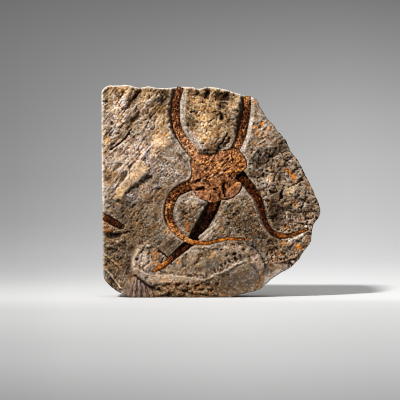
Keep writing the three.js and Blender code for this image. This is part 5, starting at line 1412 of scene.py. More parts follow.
ringd, _ = resample(DISC, 0.5)
rnd = np.roll(ringd, -1, 0) - np.roll(ringd, 1, 0)
rnd = np.stack([rnd[:, 1], -rnd[:, 0]], 1) / np.hypot(rnd[:, 0], rnd[:, 1])[:, None]
ringd = ringd + rnd * (0.9 * perlin(ringd[:, 0] / 3.4, ringd[:, 1] / 3.4, 411) + 0.40 * perlin(ringd[:, 0] / 1.3, ringd[:, 1] / 1.3, 413) - 0.15)[:, None]
g = jitter_grid(0.46, 412, (185, 249, 145, 204))
din_g = sample(full_in, g[:, 0], g[:, 1])
g = g[din_g > 0.42]
Pd = np.vstack([ringd, g])
hd = sample(HD, Pd[:, 0], Pd[:, 1])
top = np.stack([X(Pd[:, 0]), FACE_Y - hd, Z(Pd[:, 1])], 1)
td = facing(top, fill(ringd, g), -1)
nd = len(ringd)
levels = [0.35, 0.9, 2.2]
rings = []
for k, lv in enumerate(levels):
    off = 0.25 * (1, 0.6, -0.6)[k]
    rr = ringd + rnd * off
    y = FACE_Y + np.maximum(-hd[:nd] + lv, 0.2)
    rings.append(np.stack([X(rr[:, 0]), y, Z(rr[:, 1])], 1))
low_c = np.array([[X(216), FACE_Y + 3.6, Z(176)]])
vd = np.vstack([top] + rings + [low_c])
qd = []
for j in range(len(levels)):
    a0 = 0 if j == 0 else len(top) + nd * (j - 1)
    b0 = len(top) + nd * j
    i = np.arange(nd)
    k = (i + 1) % nd
    qd += [np.stack([a0 + i, b0 + i, a0 + k], 1), np.stack([a0 + k, b0 + i, b0 + k], 1)]
qd = np.vstack(qd)
mid = vd[qd].mean(1)
nrm = np.cross(vd[qd[:, 1]] - vd[qd[:, 0]], vd[qd[:, 2]] - vd[qd[:, 0]])
if np.mean(nrm[:, 0] * (mid[:, 0] - X(216)) + nrm[:, 2] * (mid[:, 2] - Z(176))) < 0:
    qd = qd[:, ::-1]
l0 = len(top) + nd * (len(levels) - 1)
i = np.arange(nd)
fan_t = facing(vd, np.stack([l0 + i, l0 + (i + 1) % nd, np.full(nd, len(vd) - 1)], 1), 1)
AD, AE = np.zeros((len(vd), 4)), np.zeros((len(vd), 4))
nt = len(top)
# cavity measures and the dark mask: painted shade in the disc's hollows and cracks, painted highlight on its raised
# grains
AD[:nt, 0] = np.clip(0.5 + sample(cavd_s, Pd[:, 0], Pd[:, 1]) * 1.8, 0, 1)
AD[:nt, 1] = np.clip(0.5 + sample(cavd_m, Pd[:, 0], Pd[:, 1]) * 0.8, 0, 1)
AD[:nt, 2] = sample(MD["orange"], Pd[:, 0], Pd[:, 1])
AD[:nt, 3] = sample(MD["dark"], Pd[:, 0], Pd[:, 1])
# the disc's sides get low cavity values, so they come out dark: painted shade
AD[nt:, :2] = 0.35
AE[:nt, 0] = sample(MD["pink"], Pd[:, 0], Pd[:, 1])
AE[:nt, 1] = 1.0
# painted shade in the hollows low on the disc
AE[:nt, 2] = sample(0.50 * blob(215, 190, 6, 6) + 0.55 * blob(231, 183, 4.5, 6) + 0.35 * blob(201, 190, 5, 4), Pd[:, 0], Pd[:, 1])
disc = add_mesh("star_disc", vd, np.vstack([td, qd, fan_t]), {"fossil_a": AD, "fossil_b": AE})
print("disc", len(vd), len(td) + len(qd) + len(fan_t))


# ---- arms ----------------------------------------------------------------------------------
def arm_mesh(name, seed, tone):
    rows = np.array(ARMS[name], float)
    fine = smooth_line(rows[:, :4], 8)
    ctr = np.stack([X(fine[:, 0]), np.zeros(len(fine)), Z(fine[:, 1])], 1)
    half = fine[:, 2] * STEP / 2
    b = half * ASPECT
    ctr[:, 1] = FACE_Y - (fine[:, 3] - b)
    L = np.concatenate([[0], np.cumsum(np.linalg.norm(np.diff(ctr, axis=0), axis=1))])
    n = int(L[-1] / 0.25)
    s = np.linspace(0, L[-1], n)
    c = np.stack([np.interp(s, L, ctr[:, k]) for k in range(3)], 1)
    # a light smoothing keeps the rings even at the plan points
    for _ in range(3):
        c[1:-1] = 0.5 * c[1:-1] + 0.25 * (c[:-2] + c[2:])
    a = np.interp(s, L, half)
    bb = a * ASPECT
    tan = np.gradient(c, axis=0)
    tan[:, 1] = 0
    tan /= np.linalg.norm(tan, axis=1)[:, None]
    across = np.cross(tan, np.array([0, -1.0, 0]))
    K = 40
    th = np.arange(K) / K * 2 * np.pi            # 0 looks at the viewer
    w = 2 * a
    phase = np.concatenate([[0], np.cumsum(np.diff(s) / (0.21 * (w[1:] + w[:-1]) / 2 + 0.16))])
    S, T = np.meshgrid(s, th, indexing="ij")
    PH = phase[:, None] + 0 * T
    sidey = np.sin(T)
    topy = np.cos(T)
    row = np.where(sidey > 0, 0.5, 0.0)
    fr = np.abs(np.mod(PH + row * 0.9 + 0.25 * perlin(S / 2.3, T * 0.8, seed + 3), 1.0) - 0.5) * 2
    groove = sstep(0.72, 1.0, fr)
    upper = sstep(-0.35, 0.25, topy)
    wmm = w[:, None]
    disp = -0.105 * wmm * groove * upper
    disp += -0.045 * wmm * np.exp(-(sidey / 0.16) ** 2) * (topy > 0)
    disp += -0.05 * wmm * np.exp(-((np.abs(sidey) - 0.78) / 0.10) ** 2) * upper
    lateral = np.abs(np.mod(PH * 1.0 + 0.5 + row * 0.9, 1.0) - 0.5) * 2
    disp += 0.050 * wmm * (1 - lateral) * sstep(0.62, 0.85, np.abs(sidey))
    P3 = c[:, None, :] + across[:, None, :] * (a[:, None] * sidey)[..., None] + np.array([0, -1.0, 0]) * (bb[:, None] * topy)[..., None]
    flat = P3.reshape(-1, 3)
    rough = (0.30 * fbm3(flat, 1.5, 2, seed) + 0.16 * fbm3(flat, 0.8, 2, seed + 5)).reshape(S.shape) * (0.40 + 0.28 * wmm)
    worn = sstep(0.12, 0.45, fbm3(flat, 3.2, 2, seed + 7)).reshape(S.shape)
    pit = sstep(0.22, 0.5, fbm3(flat, 1.5, 2, seed + 8)).reshape(S.shape)
    f1, gap, who = cells3(flat, 1.15, seed + 9)
    bead = (0.34 * (0.55 - f1) + 0.30 * (who - 0.5) * sstep(0.02, 0.3, gap) - 0.16 * (1 - sstep(0.0, 0.22, gap))).reshape(S.shape)
    disp = disp * (1 - 0.4 * worn) + rough * (0.45 + 0.55 * sstep(1.4, 3.2, wmm)) + bead * (0.36 + 0.19 * wmm) * (0.30 + 0.70 * sstep(1.4, 3.2, wmm)) - 0.09 * wmm * pit * upper
    end = np.minimum(1, np.sqrt(np.clip(1 - ((s - s[-1] + a[-1] * 1.1) / (a[-1] * 1.1)).clip(0, 1) ** 2, 0.02, 1)))
    if name in ("arm_upper_left", "arm_upper_right"):
        end = np.ones(n)
    A_, B_ = a * end, bb * end
    R = P3 * 0
    R += c[:, None, :]
    R += across[:, None, :] * ((A_[:, None] + disp * end[:, None]) * sidey)[..., None]
    R += np.array([0, -1.0, 0]) * ((B_[:, None] + disp * end[:, None]) * topy)[..., None]
    verts = R.reshape(-1, 3)
    i, k = np.meshgrid(np.arange(n - 1), np.arange(K), indexing="ij")
    i, k = i.ravel(), k.ravel()
    k2 = (k + 1) % K
    p, q_, r_, t_ = i * K + k, i * K + k2, (i + 1) * K + k, (i + 1) * K + k2
    tri = np.vstack([np.stack([p, r_, q_], 1), np.stack([q_, r_, t_], 1)])
    caps = []
    verts = np.vstack([verts, c[0] - tan[0] * 0.3, c[-1] + tan[-1] * (0.02 if end[-1] == 1 else 0.12)])
    k = np.arange(K)
    caps.append(np.stack([np.full(K, n * K), k, (k + 1) % K], 1))
    caps.append(np.stack([np.full(K, n * K + 1), (n - 1) * K + (k + 1) % K, (n - 1) * K + k], 1))
    tri = np.vstack([tri] + caps)
    mid = verts[tri].mean(1)
    nrm = np.cross(verts[tri[:, 1]] - verts[tri[:, 0]], verts[tri[:, 2]] - verts[tri[:, 0]])
    own = np.concatenate([i, i, np.zeros(K, int), np.full(K, n - 1)])
    if np.mean(np.einsum("ij,ij->i", nrm, mid - c[own])) < 0:
        tri = tri[:, ::-1]
    at = np.zeros((len(verts), 4))
    be = np.zeros((len(verts), 4))
    # painted shade and highlight: grooves and pits darker, raised beads paler, the sides darker, most of all the side
    # turned from the light
    rel = disp / (0.10 + 0.10 * wmm)
    at[:n * K, 0] = np.clip(0.54 + 0.30 * rel, 0, 1).ravel()
    toward_light = (across[:, 0:1] * -0.57 + across[:, 2:3] * 0.82) * sidey
    at[:n * K, 1] = np.clip(0.5 + 0.5 * (topy - 0.35) + 0.22 * toward_light, 0, 1).ravel()
    tt = s / s[-1]
    at[:n * K, 2] = (np.interp(tt, *tone)[:, None] + 0 * T).ravel()
    at[:n * K, 3] = (0.5 * pit * upper).ravel()
    at[n * K:, :2] = 0.5
    be[:n * K, 0] = (np.interp(tt, *PINK.get(name, ([0, 1], [0, 0])))[:, None] + 0 * T).ravel()
    be[:n * K, 1] = (np.exp(-(s / 3.0) ** 2)[:, None] + 0 * T).ravel()
    be[:n * K, 3] = (sstep(2.8, 1.7, w)[:, None] + 0 * T).ravel()
    be[:n * K, 2] = (np.interp(tt, *SHADE[name])[:, None] + 0 * T).ravel()
    return add_mesh(name + "_fossil", verts, tri, {"fossil_a": at, "fossil_b": be})


TONES = {
    "arm_upper_left": ([0, 0.15, 0.35, 0.6, 1], [0.35, 0.35, 0.25, 0.15, 0.2]),
    "arm_upper_right": ([0, 0.3, 0.5, 0.8, 1], [0.5, 0.25, 0.15, 0.2, 0.4]),
    "arm_left_loop": ([0, 0.1, 0.35, 0.5, 0.62, 0.8, 1], [0.3, 0.3, 0.28, 0.45, 0.6, 0.95, 0.7]),
    "arm_lower": ([0, 0.3, 0.7, 0.8, 0.86, 1], [0.3, 0.2, 0.12, 0.3, 0.95, 1]),
    "arm_right": ([0, 0.25, 0.55, 0.7, 0.85, 1], [0.4, 0.45, 0.45, 0.45, 0.6, 0.7]),
    "edge_arm_fragment": ([0, 0.3, 1], [0.35, 0.1, 0.05]),
}
SHADE = {
    "arm_upper_left": ([0, 0.35, 0.55, 1], [-0.20, -0.04, 0.44, 0.56]),
    "arm_upper_right": ([0, 0.2, 0.4, 0.8, 0.95, 1], [0.0, 0.10, 0.60, 0.70, 0.20, 0.0]),
    "arm_left_loop": ([0, 0.06, 0.16, 0.22, 0.30, 0.37, 0.42, 0.5, 0.6, 1], [0.1, 0.40, 0.45, 0.20, 0.15, 0.50, 0.10, 0.0, 0.0, 0.08]),
    "arm_lower": ([0, 0.08, 0.2, 0.5, 0.78, 0.85, 1], [0.3, 0.80, 1.50, 1.35, 0.90, 0.15, 0]),
    "arm_right": ([0, 0.10, 0.2, 0.5, 0.66, 0.74, 1], [1.6, 1.0, 1.0, 1.30, 1.05, 0.30, 0.15]),
    "edge_arm_fragment": ([0, 0.3, 0.6, 1], [0.8, 1.2, 1.3, 1.1]),
}
PINK = {"arm_upper_left": ([0, 0.35, 0.5, 1], [0.7, 0.65, 0.4, 0.4]), "arm_upper_right": ([0, 0.3, 1], [0.1, 0.5, 0.4]), "arm_left_loop": ([0, 0.35, 0.5, 0.58, 0.64, 1], [0, 0, 0.4, 0.25, 0, 0])}
arms = {}
for k, name in enumerate(ARMS):
    arms[name] = arm_mesh(name, 500 + 20 * k, TONES[name])


# ------------------------------------------------------------------------------------------
# finishes
# ------------------------------------------------------------------------------------------
def lin(c):
    """An sRGB colour in 0..255 as linear RGBA."""
    f = [(x / 255) / 12.92 if x <= 10.3 else ((x / 255 + 0.055) / 1.055) ** 2.4 for x in c]
    return (f[0], f[1], f[2], 1.0)


class Finish:
    """A node material put together step by step."""

    def __init__(self, name):
        self.mat = bpy.data.materials.new(name)
        self.mat.use_nodes = True
        self.nt = self.mat.node_tree
        self.nt.nodes.clear()
        self.out = self.nt.nodes.new("ShaderNodeOutputMaterial")
        self.bsdf = self.nt.nodes.new("ShaderNodeBsdfPrincipled")
        self.link(self.bsdf.outputs[0], self.out.inputs["Surface"])
        tc = self.nt.nodes.new("ShaderNodeTexCoord")
        self.pos = tc.outputs["Object"]

    def link(self, a, b):
        self.nt.links.new(a, b)

    def put(self, sock, val):
        if isinstance(val, bpy.types.NodeSocket):
            self.link(val, sock)
        else:
            sock.default_value = val

    def attr(self, name):
        at = self.nt.nodes.new("ShaderNodeAttribute")
        at.attribute_name = name
        sp = self.nt.nodes.new("ShaderNodeSeparateColor")
        self.link(at.outputs["Color"], sp.inputs[0])
        return sp.outputs[0], sp.outputs[1], sp.outputs[2], at.outputs["Alpha"]

    def noise(self, scale, detail=4, rough=0.6, stretch=None, offset=(0, 0, 0), distort=0.0):
        n = self.nt.nodes.new("ShaderNodeTexNoise")
        n.inputs["Scale"].default_value = scale
        n.inputs["Detail"].default_value = detail
        n.inputs["Roughness"].default_value = rough
        n.inputs["Distortion"].default_value = distort
        m = self.nt.nodes.new("ShaderNodeMapping")
        self.link(self.pos, m.inputs["Vector"])
        m.inputs["Location"].default_value = offset
        if stretch is not None:
            rot, sc = stretch
            m.vector_type = "TEXTURE"
            m.inputs["Rotation"].default_value = rot
            m.inputs["Scale"].default_value = sc
        self.link(m.outputs[0], n.inputs["Vector"])
        return n.outputs["Fac"]

    def voronoi(self, scale, feature="F1", rand=1.0):
        n = self.nt.nodes.new("ShaderNodeTexVoronoi")
        n.feature = feature
        n.inputs["Scale"].default_value = scale
        n.inputs["Randomness"].default_value = rand
        self.link(self.pos, n.inputs["Vector"])
        return n.outputs["Distance"], (n.outputs["Color"] if feature != "DISTANCE_TO_EDGE" else None)

    def math(self, op, a, b=0.0, c=0.0, clamp=False):
        n = self.nt.nodes.new("ShaderNodeMath")
        n.operation = op
        n.use_clamp = clamp
        self.put(n.inputs[0], a)
        self.put(n.inputs[1], b)
        self.put(n.inputs[2], c)
        return n.outputs[0]

    def remap(self, x, a, b, lo=0.0, hi=1.0, smooth=True):
        n = self.nt.nodes.new("ShaderNodeMapRange")
        n.interpolation_type = "SMOOTHSTEP" if smooth else "LINEAR"
        self.put(n.inputs["Value"], x)
        n.inputs["From Min"].default_value = a
        n.inputs["From Max"].default_value = b
        n.inputs["To Min"].default_value = lo
        n.inputs["To Max"].default_value = hi
        return n.outputs["Result"]

    def mix(self, fac, a, b, how="MIX"):
        n = self.nt.nodes.new("ShaderNodeMix")
        n.data_type = "RGBA"
        n.blend_type = how
        n.clamp_factor = True
        self.put(n.inputs["Factor"], fac)
        self.put(n.inputs[6], a)
        self.put(n.inputs[7], b)
        return n.outputs[2]

    def flat_mix(self, fac, a, b):
        n = self.nt.nodes.new("ShaderNodeMix")
        n.data_type = "FLOAT"
        n.clamp_factor = True
        self.put(n.inputs[0], fac)
        self.put(n.inputs[2], a)
        self.put(n.inputs[3], b)
        return n.outputs[0]

    def grey(self, x):
        n = self.nt.nodes.new("ShaderNodeCombineColor")
        for k in range(3):
            self.put(n.inputs[k], x)
        return n.outputs[0]

    def ramp(self, x, stops):
        n = self.nt.nodes.new("ShaderNodeValToRGB")
        self.put(n.inputs[0], x)
        el = n.color_ramp.elements
        while len(el) < len(stops):
            el.new(0.5)
        for e, (p, c) in zip(el, stops):
            e.position = p
            e.color = c
        return n.outputs[0]

    def bump(self, height, strength, dist, normal=None):
        n = self.nt.nodes.new("ShaderNodeBump")
        n.inputs["Strength"].default_value = strength
        n.inputs["Distance"].default_value = dist
        self.link(height, n.inputs["Height"])
        if normal is not None:
            self.link(normal, n.inputs["Normal"])
        return n.outputs[0]


# ---- siltstone -----------------------------------------------------------------------------
f = Finish("siltstone")
tan, dark, chalk, orange = f.attr("rock_a")
olive, pale, pink, blue = f.attr("rock_b")
cs, cm, bed, rim = f.attr("rock_c")
tone_at, heat_at, calm, lined = f.attr("rock_d")
big = f.noise(55, 4, 0.6)
mid_n = f.noise(190, 5, 0.65, offset=(0.3, 0, 0.1))
fine = f.noise(760, 4, 0.7, offset=(0.1, 0.2, 0))
grit = f.noise(1700, 2, 0.6)
streak = f.noise(420, 4, 0.65, stretch=((0, math.radians(-45), 0), (4.0, 1.0, 1.0)))
lines = f.noise(980, 3, 0.6, stretch=((0, math.radians(-44), 0), (5.0, 1.0, 1.0)), offset=(0.02, 0.0, 0.01))
fine_all = fine
fine = f.flat_mix(f.math("MULTIPLY", lined, 0.60), fine, lines)
fine = f.flat_mix(f.math("MULTIPLY", calm, 0.70), fine, f.flat_mix(0.8, fine_all, 0.53))
grit = f.flat_mix(f.math("MULTIPLY", calm, 0.80), grit, 0.53)
stir = f.math("SUBTRACT", 1.0, f.math("MULTIPLY", calm, 0.70))
grain_d, grain_c = f.voronoi(1050)
gsep = f.nt.nodes.new("ShaderNodeSeparateColor")
f.link(grain_c, gsep.inputs[0])
g_r, g_g, g_b = gsep.outputs
col = f.ramp(f.math("ADD", f.math("MULTIPLY", big, 0.35), f.math("MULTIPLY", mid_n, 0.65)),
             [(0.32, lin((111, 97, 82))), (0.46, lin((147, 130, 112))), (0.58, lin((175, 156, 134))), (0.72, lin((203, 184, 159)))])
col = f.mix(f.remap(tan, 0.05, 0.95, 0.0, 0.9), col, f.mix(f.remap(mid_n, 0.38, 0.62), lin((172, 130, 84)), lin((244, 206, 148))))
col = f.mix(olive, col, f.mix(mid_n, lin((100, 82, 60)), lin((134, 114, 86))))
col = f.mix(blue, col, lin((98, 102, 110)))
col = f.mix(pink, col, lin((160, 126, 108)))
# pale: on crests, step edges, lips and raised lumps; partly the rock's own paler colour, partly painted highlight
col = f.mix(pale, col, lin((212, 194, 170)))
col = f.mix(f.math("MULTIPLY", f.remap(streak, 0.40, 0.60), f.math("MULTIPLY", bed, 0.30)), col, lin((98, 80, 62)))
# single grains: cream, brown, rusty
cream_f = f.math("MULTIPLY", f.remap(g_r, 0.70, 0.80), f.math("MULTIPLY", stir, 0.50))
brown_f = f.math("MULTIPLY", f.remap(g_r, 0.26, 0.16), f.math("MULTIPLY", stir, 0.50))
rusty_f = f.math("MULTIPLY", f.remap(g_b, 0.88, 0.93), f.math("MULTIPLY", stir, f.remap(mid_n, 0.40, 0.62, 0.15, 0.75)))
col = f.mix(brown_f, col, lin((84, 64, 46)))
col = f.mix(rusty_f, col, lin((172, 112, 54)))
col = f.mix(cream_f, col, lin((227, 214, 199)))
# single patches run warmer or cooler than their neighbours
patch_d, patch_c = f.voronoi(820)
psep = f.nt.nodes.new("ShaderNodeSeparateColor")
f.link(patch_c, psep.inputs[0])
spread_d, spread_c = f.voronoi(330)
ssep = f.nt.nodes.new("ShaderNodeSeparateColor")
f.link(spread_c, ssep.inputs[0])
warm_n = f.noise(150, 4, 0.7, offset=(0.7, 0.2, 0.9))
warm = f.math("ADD", f.math("MULTIPLY", f.math("SUBTRACT", psep.outputs[0], 0.5), 1.10),
              f.math("ADD", f.math("MULTIPLY", f.math("SUBTRACT", ssep.outputs[1], 0.5), 0.55), f.math("MULTIPLY", f.math("SUBTRACT", warm_n, 0.5), 3.2)))
warm = f.math("MULTIPLY", f.math("MULTIPLY", warm, stir), f.math("SUBTRACT", 1.0, f.math("MULTIPLY", chalk, 0.6)))
warm = f.math("MULTIPLY", warm, f.remap(tone_at, 0.54, 0.36, 1.0, 1.75))
warm = f.math("MAXIMUM", warm, f.remap(heat_at, 0.32, 0.48, -0.22, -0.66))
hue = f.nt.nodes.new("ShaderNodeCombineColor")
for k, e in enumerate((0.15, -0.07, -0.38)):
    f.link(f.math("EXPONENT", f.math("MULTIPLY", warm, e)), hue.inputs[k])
shift = f.nt.nodes.new("ShaderNodeVectorMath")
shift.operation = "MULTIPLY"
f.link(col, shift.inputs[0])
f.link(hue.outputs[0], shift.inputs[1])
col = shift.outputs[0]
chalk_n = f.math("MULTIPLY", chalk, f.remap(fine, 0.18, 0.5, 0.70, 1.0))
col = f.mix(chalk_n, col, f.mix(f.remap(grit, 0.35, 0.65), lin((204, 190, 176)), lin((232, 221, 208))))
# cavities are painted dark, painted shade with some dust in it; high grains are painted pale, partly rubbed and partly
# painted highlight
keep = f.math("SUBTRACT", 1.0, f.math("MULTIPLY", chalk, 0.75))
low_s = f.math("MULTIPLY", f.remap(cs, 0.50, 0.14), keep)
low_m = f.math("MULTIPLY", f.remap(cm, 0.48, 0.16), keep)
high_s = f.remap(cs, 0.56, 0.92)
high_m = f.remap(cm, 0.56, 0.90)
col = f.mix(f.math("MULTIPLY", high_m, 0.30), col, lin((203, 184, 164)))
col = f.mix(f.math("MULTIPLY", high_s, 0.60), col, lin((229, 214, 197)))
col = f.mix(f.math("MULTIPLY", low_m, 0.62), col, lin((66, 42, 22)))
col = f.mix(f.math("MULTIPLY", low_s, 0.80), col, lin((48, 27, 12)))
# dark: painted shade in cracks, hollows, pits, holes, channel walls and under lumps, partly dark stain
col = f.mix(f.math("MULTIPLY", dark, 0.90), col, f.mix(fine, lin((26, 15, 7)), lin((62, 42, 24))))
col = f.mix(0.78, col, f.ramp(fine, [(0.32, lin((86, 60, 36))), (0.46, lin((190, 173, 154))), (0.62, lin((255, 255, 255)))]), "MULTIPLY")
col = f.mix(0.50, col, f.ramp(grit, [(0.34, lin((122, 90, 62))), (0.5, lin((222, 216, 208))), (0.66, lin((255, 255, 255)))]), "MULTIPLY")
orange_n = f.math("MULTIPLY", orange, f.remap(fine, 0.30, 0.50))
col = f.mix(orange_n, col, f.mix(f.remap(fine, 0.4, 0.62), lin((150, 76, 12)), lin((232, 140, 24))))
stop = f.math("MULTIPLY", f.math("SUBTRACT", tone_at, 0.5), 3.0)
tint = f.nt.nodes.new("ShaderNodeCombineColor")
heat = f.math("MULTIPLY", f.math("SUBTRACT", heat_at, 0.5), 3.0)
for k, (e, w) in enumerate(((1.0, 0.04), (1.14, -0.09), (1.38, -0.44))):
    f.link(f.math("EXPONENT", f.math("ADD", f.math("MULTIPLY", stop, e), f.math("MULTIPLY", heat, w))), tint.inputs[k])
lift = f.nt.nodes.new("ShaderNodeVectorMath")
lift.operation = "MULTIPLY"
f.link(col, lift.inputs[0])
f.link(tint.outputs[0], lift.inputs[1])
cap = f.nt.nodes.new("ShaderNodeVectorMath")
cap.operation = "MINIMUM"
f.link(lift.outputs[0], cap.inputs[0])
cap.inputs[1].default_value = (0.84, 0.80, 0.74)
# rim: painted highlight along the top and left edges
col = f.mix(f.math("MULTIPLY", rim, f.remap(fine, 0.30, 0.55, 0.62, 0.88)), cap.outputs[0], lin((231, 219, 205)))
f.link(col, f.bsdf.inputs["Base Color"])
f.link(f.remap(fine, 0.3, 0.7, 0.97, 0.78), f.bsdf.inputs["Roughness"])
f.bsdf.inputs["Specular IOR Level"].default_value = 0.12
vd1, _ = f.voronoi(1600)
hgt = f.math("ADD", f.math("MULTIPLY", fine, 0.75), f.math("ADD", f.math("MULTIPLY", grit, 0.30), f.math("MULTIPLY", stir, f.math("ADD", f.math("MULTIPLY", vd1, -0.22), f.math("MULTIPLY", grain_d, -0.30)))))
f.link(f.bump(hgt, 1.0, 0.00080), f.bsdf.inputs["Normal"])
ROCK_MAT = f.mat


# ---- the fossil ----------------------------------------------------------------------------
def fossil_finish(name):
    f = Finish(name)
    cs, cm, tone, dk = f.attr("fossil_a")
    pink, is_disc, shade, thin = f.attr("fossil_b")
    big = f.noise(110, 4, 0.6, offset=(0.2, 0.5, 0.1))
    mid_n = f.noise(420, 4, 0.65, offset=(0.5, 0.1, 0.3))
    fine = f.noise(850, 4, 0.7)
    grit = f.noise(1900, 2, 0.6)
    grain_d, grain_c = f.voronoi(900)
    gs = f.nt.nodes.new("ShaderNodeSeparateColor")
    f.link(grain_c, gs.inputs[0])
    where = f.math("ADD", f.math("MULTIPLY", big, 0.4), f.math("MULTIPLY", mid_n, 0.6))
    on_disc = f.ramp(where, [(0.32, lin((112, 66, 37))), (0.45, lin((153, 100, 64))), (0.56, lin((184, 129, 85))), (0.70, lin((212, 159, 113)))])
    on_arm = f.ramp(where, [(0.32, lin((90, 52, 31))), (0.46, lin((138, 88, 56))), (0.57, lin((168, 115, 78))), (0.72, lin((200, 147, 107)))])
    col = f.mix(is_disc, on_arm, on_disc)
    col = f.mix(f.math("MULTIPLY", tone, f.remap(mid_n, 0.25, 0.6, 0.55, 1.0)), col, f.mix(f.remap(fine, 0.38, 0.62), lin((176, 92, 24)), lin((238, 156, 64))))
    col = f.mix(f.math("MULTIPLY", pink, 0.7), col, f.mix(mid_n, lin((156, 98, 66)), lin((204, 142, 102))))
    # painted light and shade with the grains' own colour: pale and dark single grains, painted highlight on raised
    # grains, painted shade in hollows, pits and cracks, on the arms' sides turned from the light, and where the rock
    # shades them
    low = f.math("ADD", f.math("MULTIPLY", f.remap(cs, 0.52, 0.16), f.remap(is_disc, 0.0, 1.0, 2.1, 1.35, smooth=False)), f.math("MULTIPLY", f.remap(cm, 0.52, 0.14), f.remap(is_disc, 0.0, 1.0, 1.5, 0.95, smooth=False)))
    high = f.math("ADD", f.math("MULTIPLY", f.remap(cs, 0.56, 0.95), 0.55), f.math("MULTIPLY", f.remap(gs.outputs[0], 0.74, 0.86), 0.50))
    stop = f.math("SUBTRACT", high, low)
    stop = f.math("SUBTRACT", stop, f.math("MULTIPLY", f.remap(gs.outputs[0], 0.30, 0.16), f.remap(is_disc, 0.0, 1.0, 1.35, 0.90, smooth=False)))
    stop = f.math("ADD", stop, f.math("MULTIPLY", f.math("SUBTRACT", fine, 0.5), 6.0))
    stop = f.math("ADD", stop, f.math("MULTIPLY", f.math("SUBTRACT", mid_n, 0.5), f.remap(is_disc, 0.0, 1.0, 3.4, 2.2, smooth=False)))
    stop = f.math("ADD", stop, f.math("MULTIPLY", f.math("SUBTRACT", grit, 0.5), 2.0))
    stop = f.math("MULTIPLY", stop, f.math("SUBTRACT", 1.0, f.math("MULTIPLY", thin, 0.62)))
    stop = f.math("SUBTRACT", stop, f.math("MULTIPLY", dk, 1.9))
    stop = f.math("SUBTRACT", stop, f.math("MULTIPLY", shade, 2.0))
    stop = f.math("MULTIPLY", stop, f.remap(is_disc, 0.0, 1.0, 1.0, 0.58, smooth=False))
    stop = f.math("SUBTRACT", stop, f.remap(is_disc, 0.0, 1.0, -0.30, 0.20, smooth=False))
    stop = f.math("SUBTRACT", stop, f.math("MULTIPLY", thin, 0.74))
    warm = f.math("MULTIPLY", f.math("SUBTRACT", gs.outputs[1], 0.5), 1.5)
    tint = f.nt.nodes.new("ShaderNodeCombineColor")
    for k, (e, w, t, d) in enumerate(((1.0, 0.14, 0.0, 0.0), (1.14, 0.0, -0.14, -0.20), (1.26, -0.42, -0.72, -0.46))):
        side_on = f.math("ADD", f.math("MULTIPLY", thin, t), f.math("MULTIPLY", shade, d))
        f.link(f.math("EXPONENT", f.math("ADD", side_on, f.math("ADD", f.math("MULTIPLY", stop, e), f.math("MULTIPLY", warm, w)))), tint.inputs[k])
    lift = f.nt.nodes.new("ShaderNodeVectorMath")
    lift.operation = "MULTIPLY"
    f.link(col, lift.inputs[0])
    f.link(tint.outputs[0], lift.inputs[1])
    cap = f.nt.nodes.new("ShaderNodeVectorMath")
    cap.operation = "MINIMUM"
    f.link(lift.outputs[0], cap.inputs[0])
    cap.inputs[1].default_value = (0.76, 0.50, 0.30)
    f.link(cap.outputs[0], f.bsdf.inputs["Base Color"])
    f.link(f.remap(fine, 0.3, 0.7, 0.90, 0.60), f.bsdf.inputs["Roughness"])
    f.bsdf.inputs["Specular IOR Level"].default_value = 0.06
    vd1, _ = f.voronoi(1900)
    hgt = f.math("ADD", f.math("MULTIPLY", fine, 0.75), f.math("ADD", f.math("MULTIPLY", grit, 0.30), f.math("ADD", f.math("MULTIPLY", vd1, -0.22), f.math("MULTIPLY", grain_d, -0.35))))
    f.link(f.bump(hgt, 1.0, 0.00085), f.bsdf.inputs["Normal"])
    return f.mat


DISC_MAT = fossil_finish("disc_rust")
ARM_MAT = fossil_finish("arm_rust")

slab.data.materials.append(ROCK_MAT)
disc.data.materials.append(DISC_MAT)
for ob in arms.values():
    ob.data.materials.append(ARM_MAT)

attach(slab, "root")
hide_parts("matrix_slab")
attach(disc, "root")
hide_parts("disc")
for name, ob in arms.items():
    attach(ob, "root")
    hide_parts(name)

# ------------------------------------------------------------------------------------------
# floor, light, camera
# ------------------------------------------------------------------------------------------
fl = bpy.data.meshes.new("floor")
seg = 96
fv = [(0.9 * math.cos(2 * math.pi * k / seg), 0.9 * math.sin(2 * math.pi * k / seg), 0.0) for k in range(seg)]
fl.from_pydata(fv, [], [list(range(seg))])
fl.update()
floor = bpy.data.objects.new("floor", fl)
bpy.context.collection.objects.link(floor)
f = Finish("floor_paper")
sp = f.nt.nodes.new("ShaderNodeSeparateXYZ")
f.link(f.pos, sp.inputs[0])
along = f.remap(sp.outputs[1], -0.6, 0.7, 0.0, 1.0, smooth=False)


def further(y):
    r = (y + 0.0102) / (1.4 + y + 0.0102) * 0.105 / 0.086
    return 1.4 * r / (1 - r) - 0.0102


def paper(rows):
    return f.ramp(along, [((further(y) + 0.6) / 1.3, (c, c, c * 0.995, 1.0)) for y, c in rows])


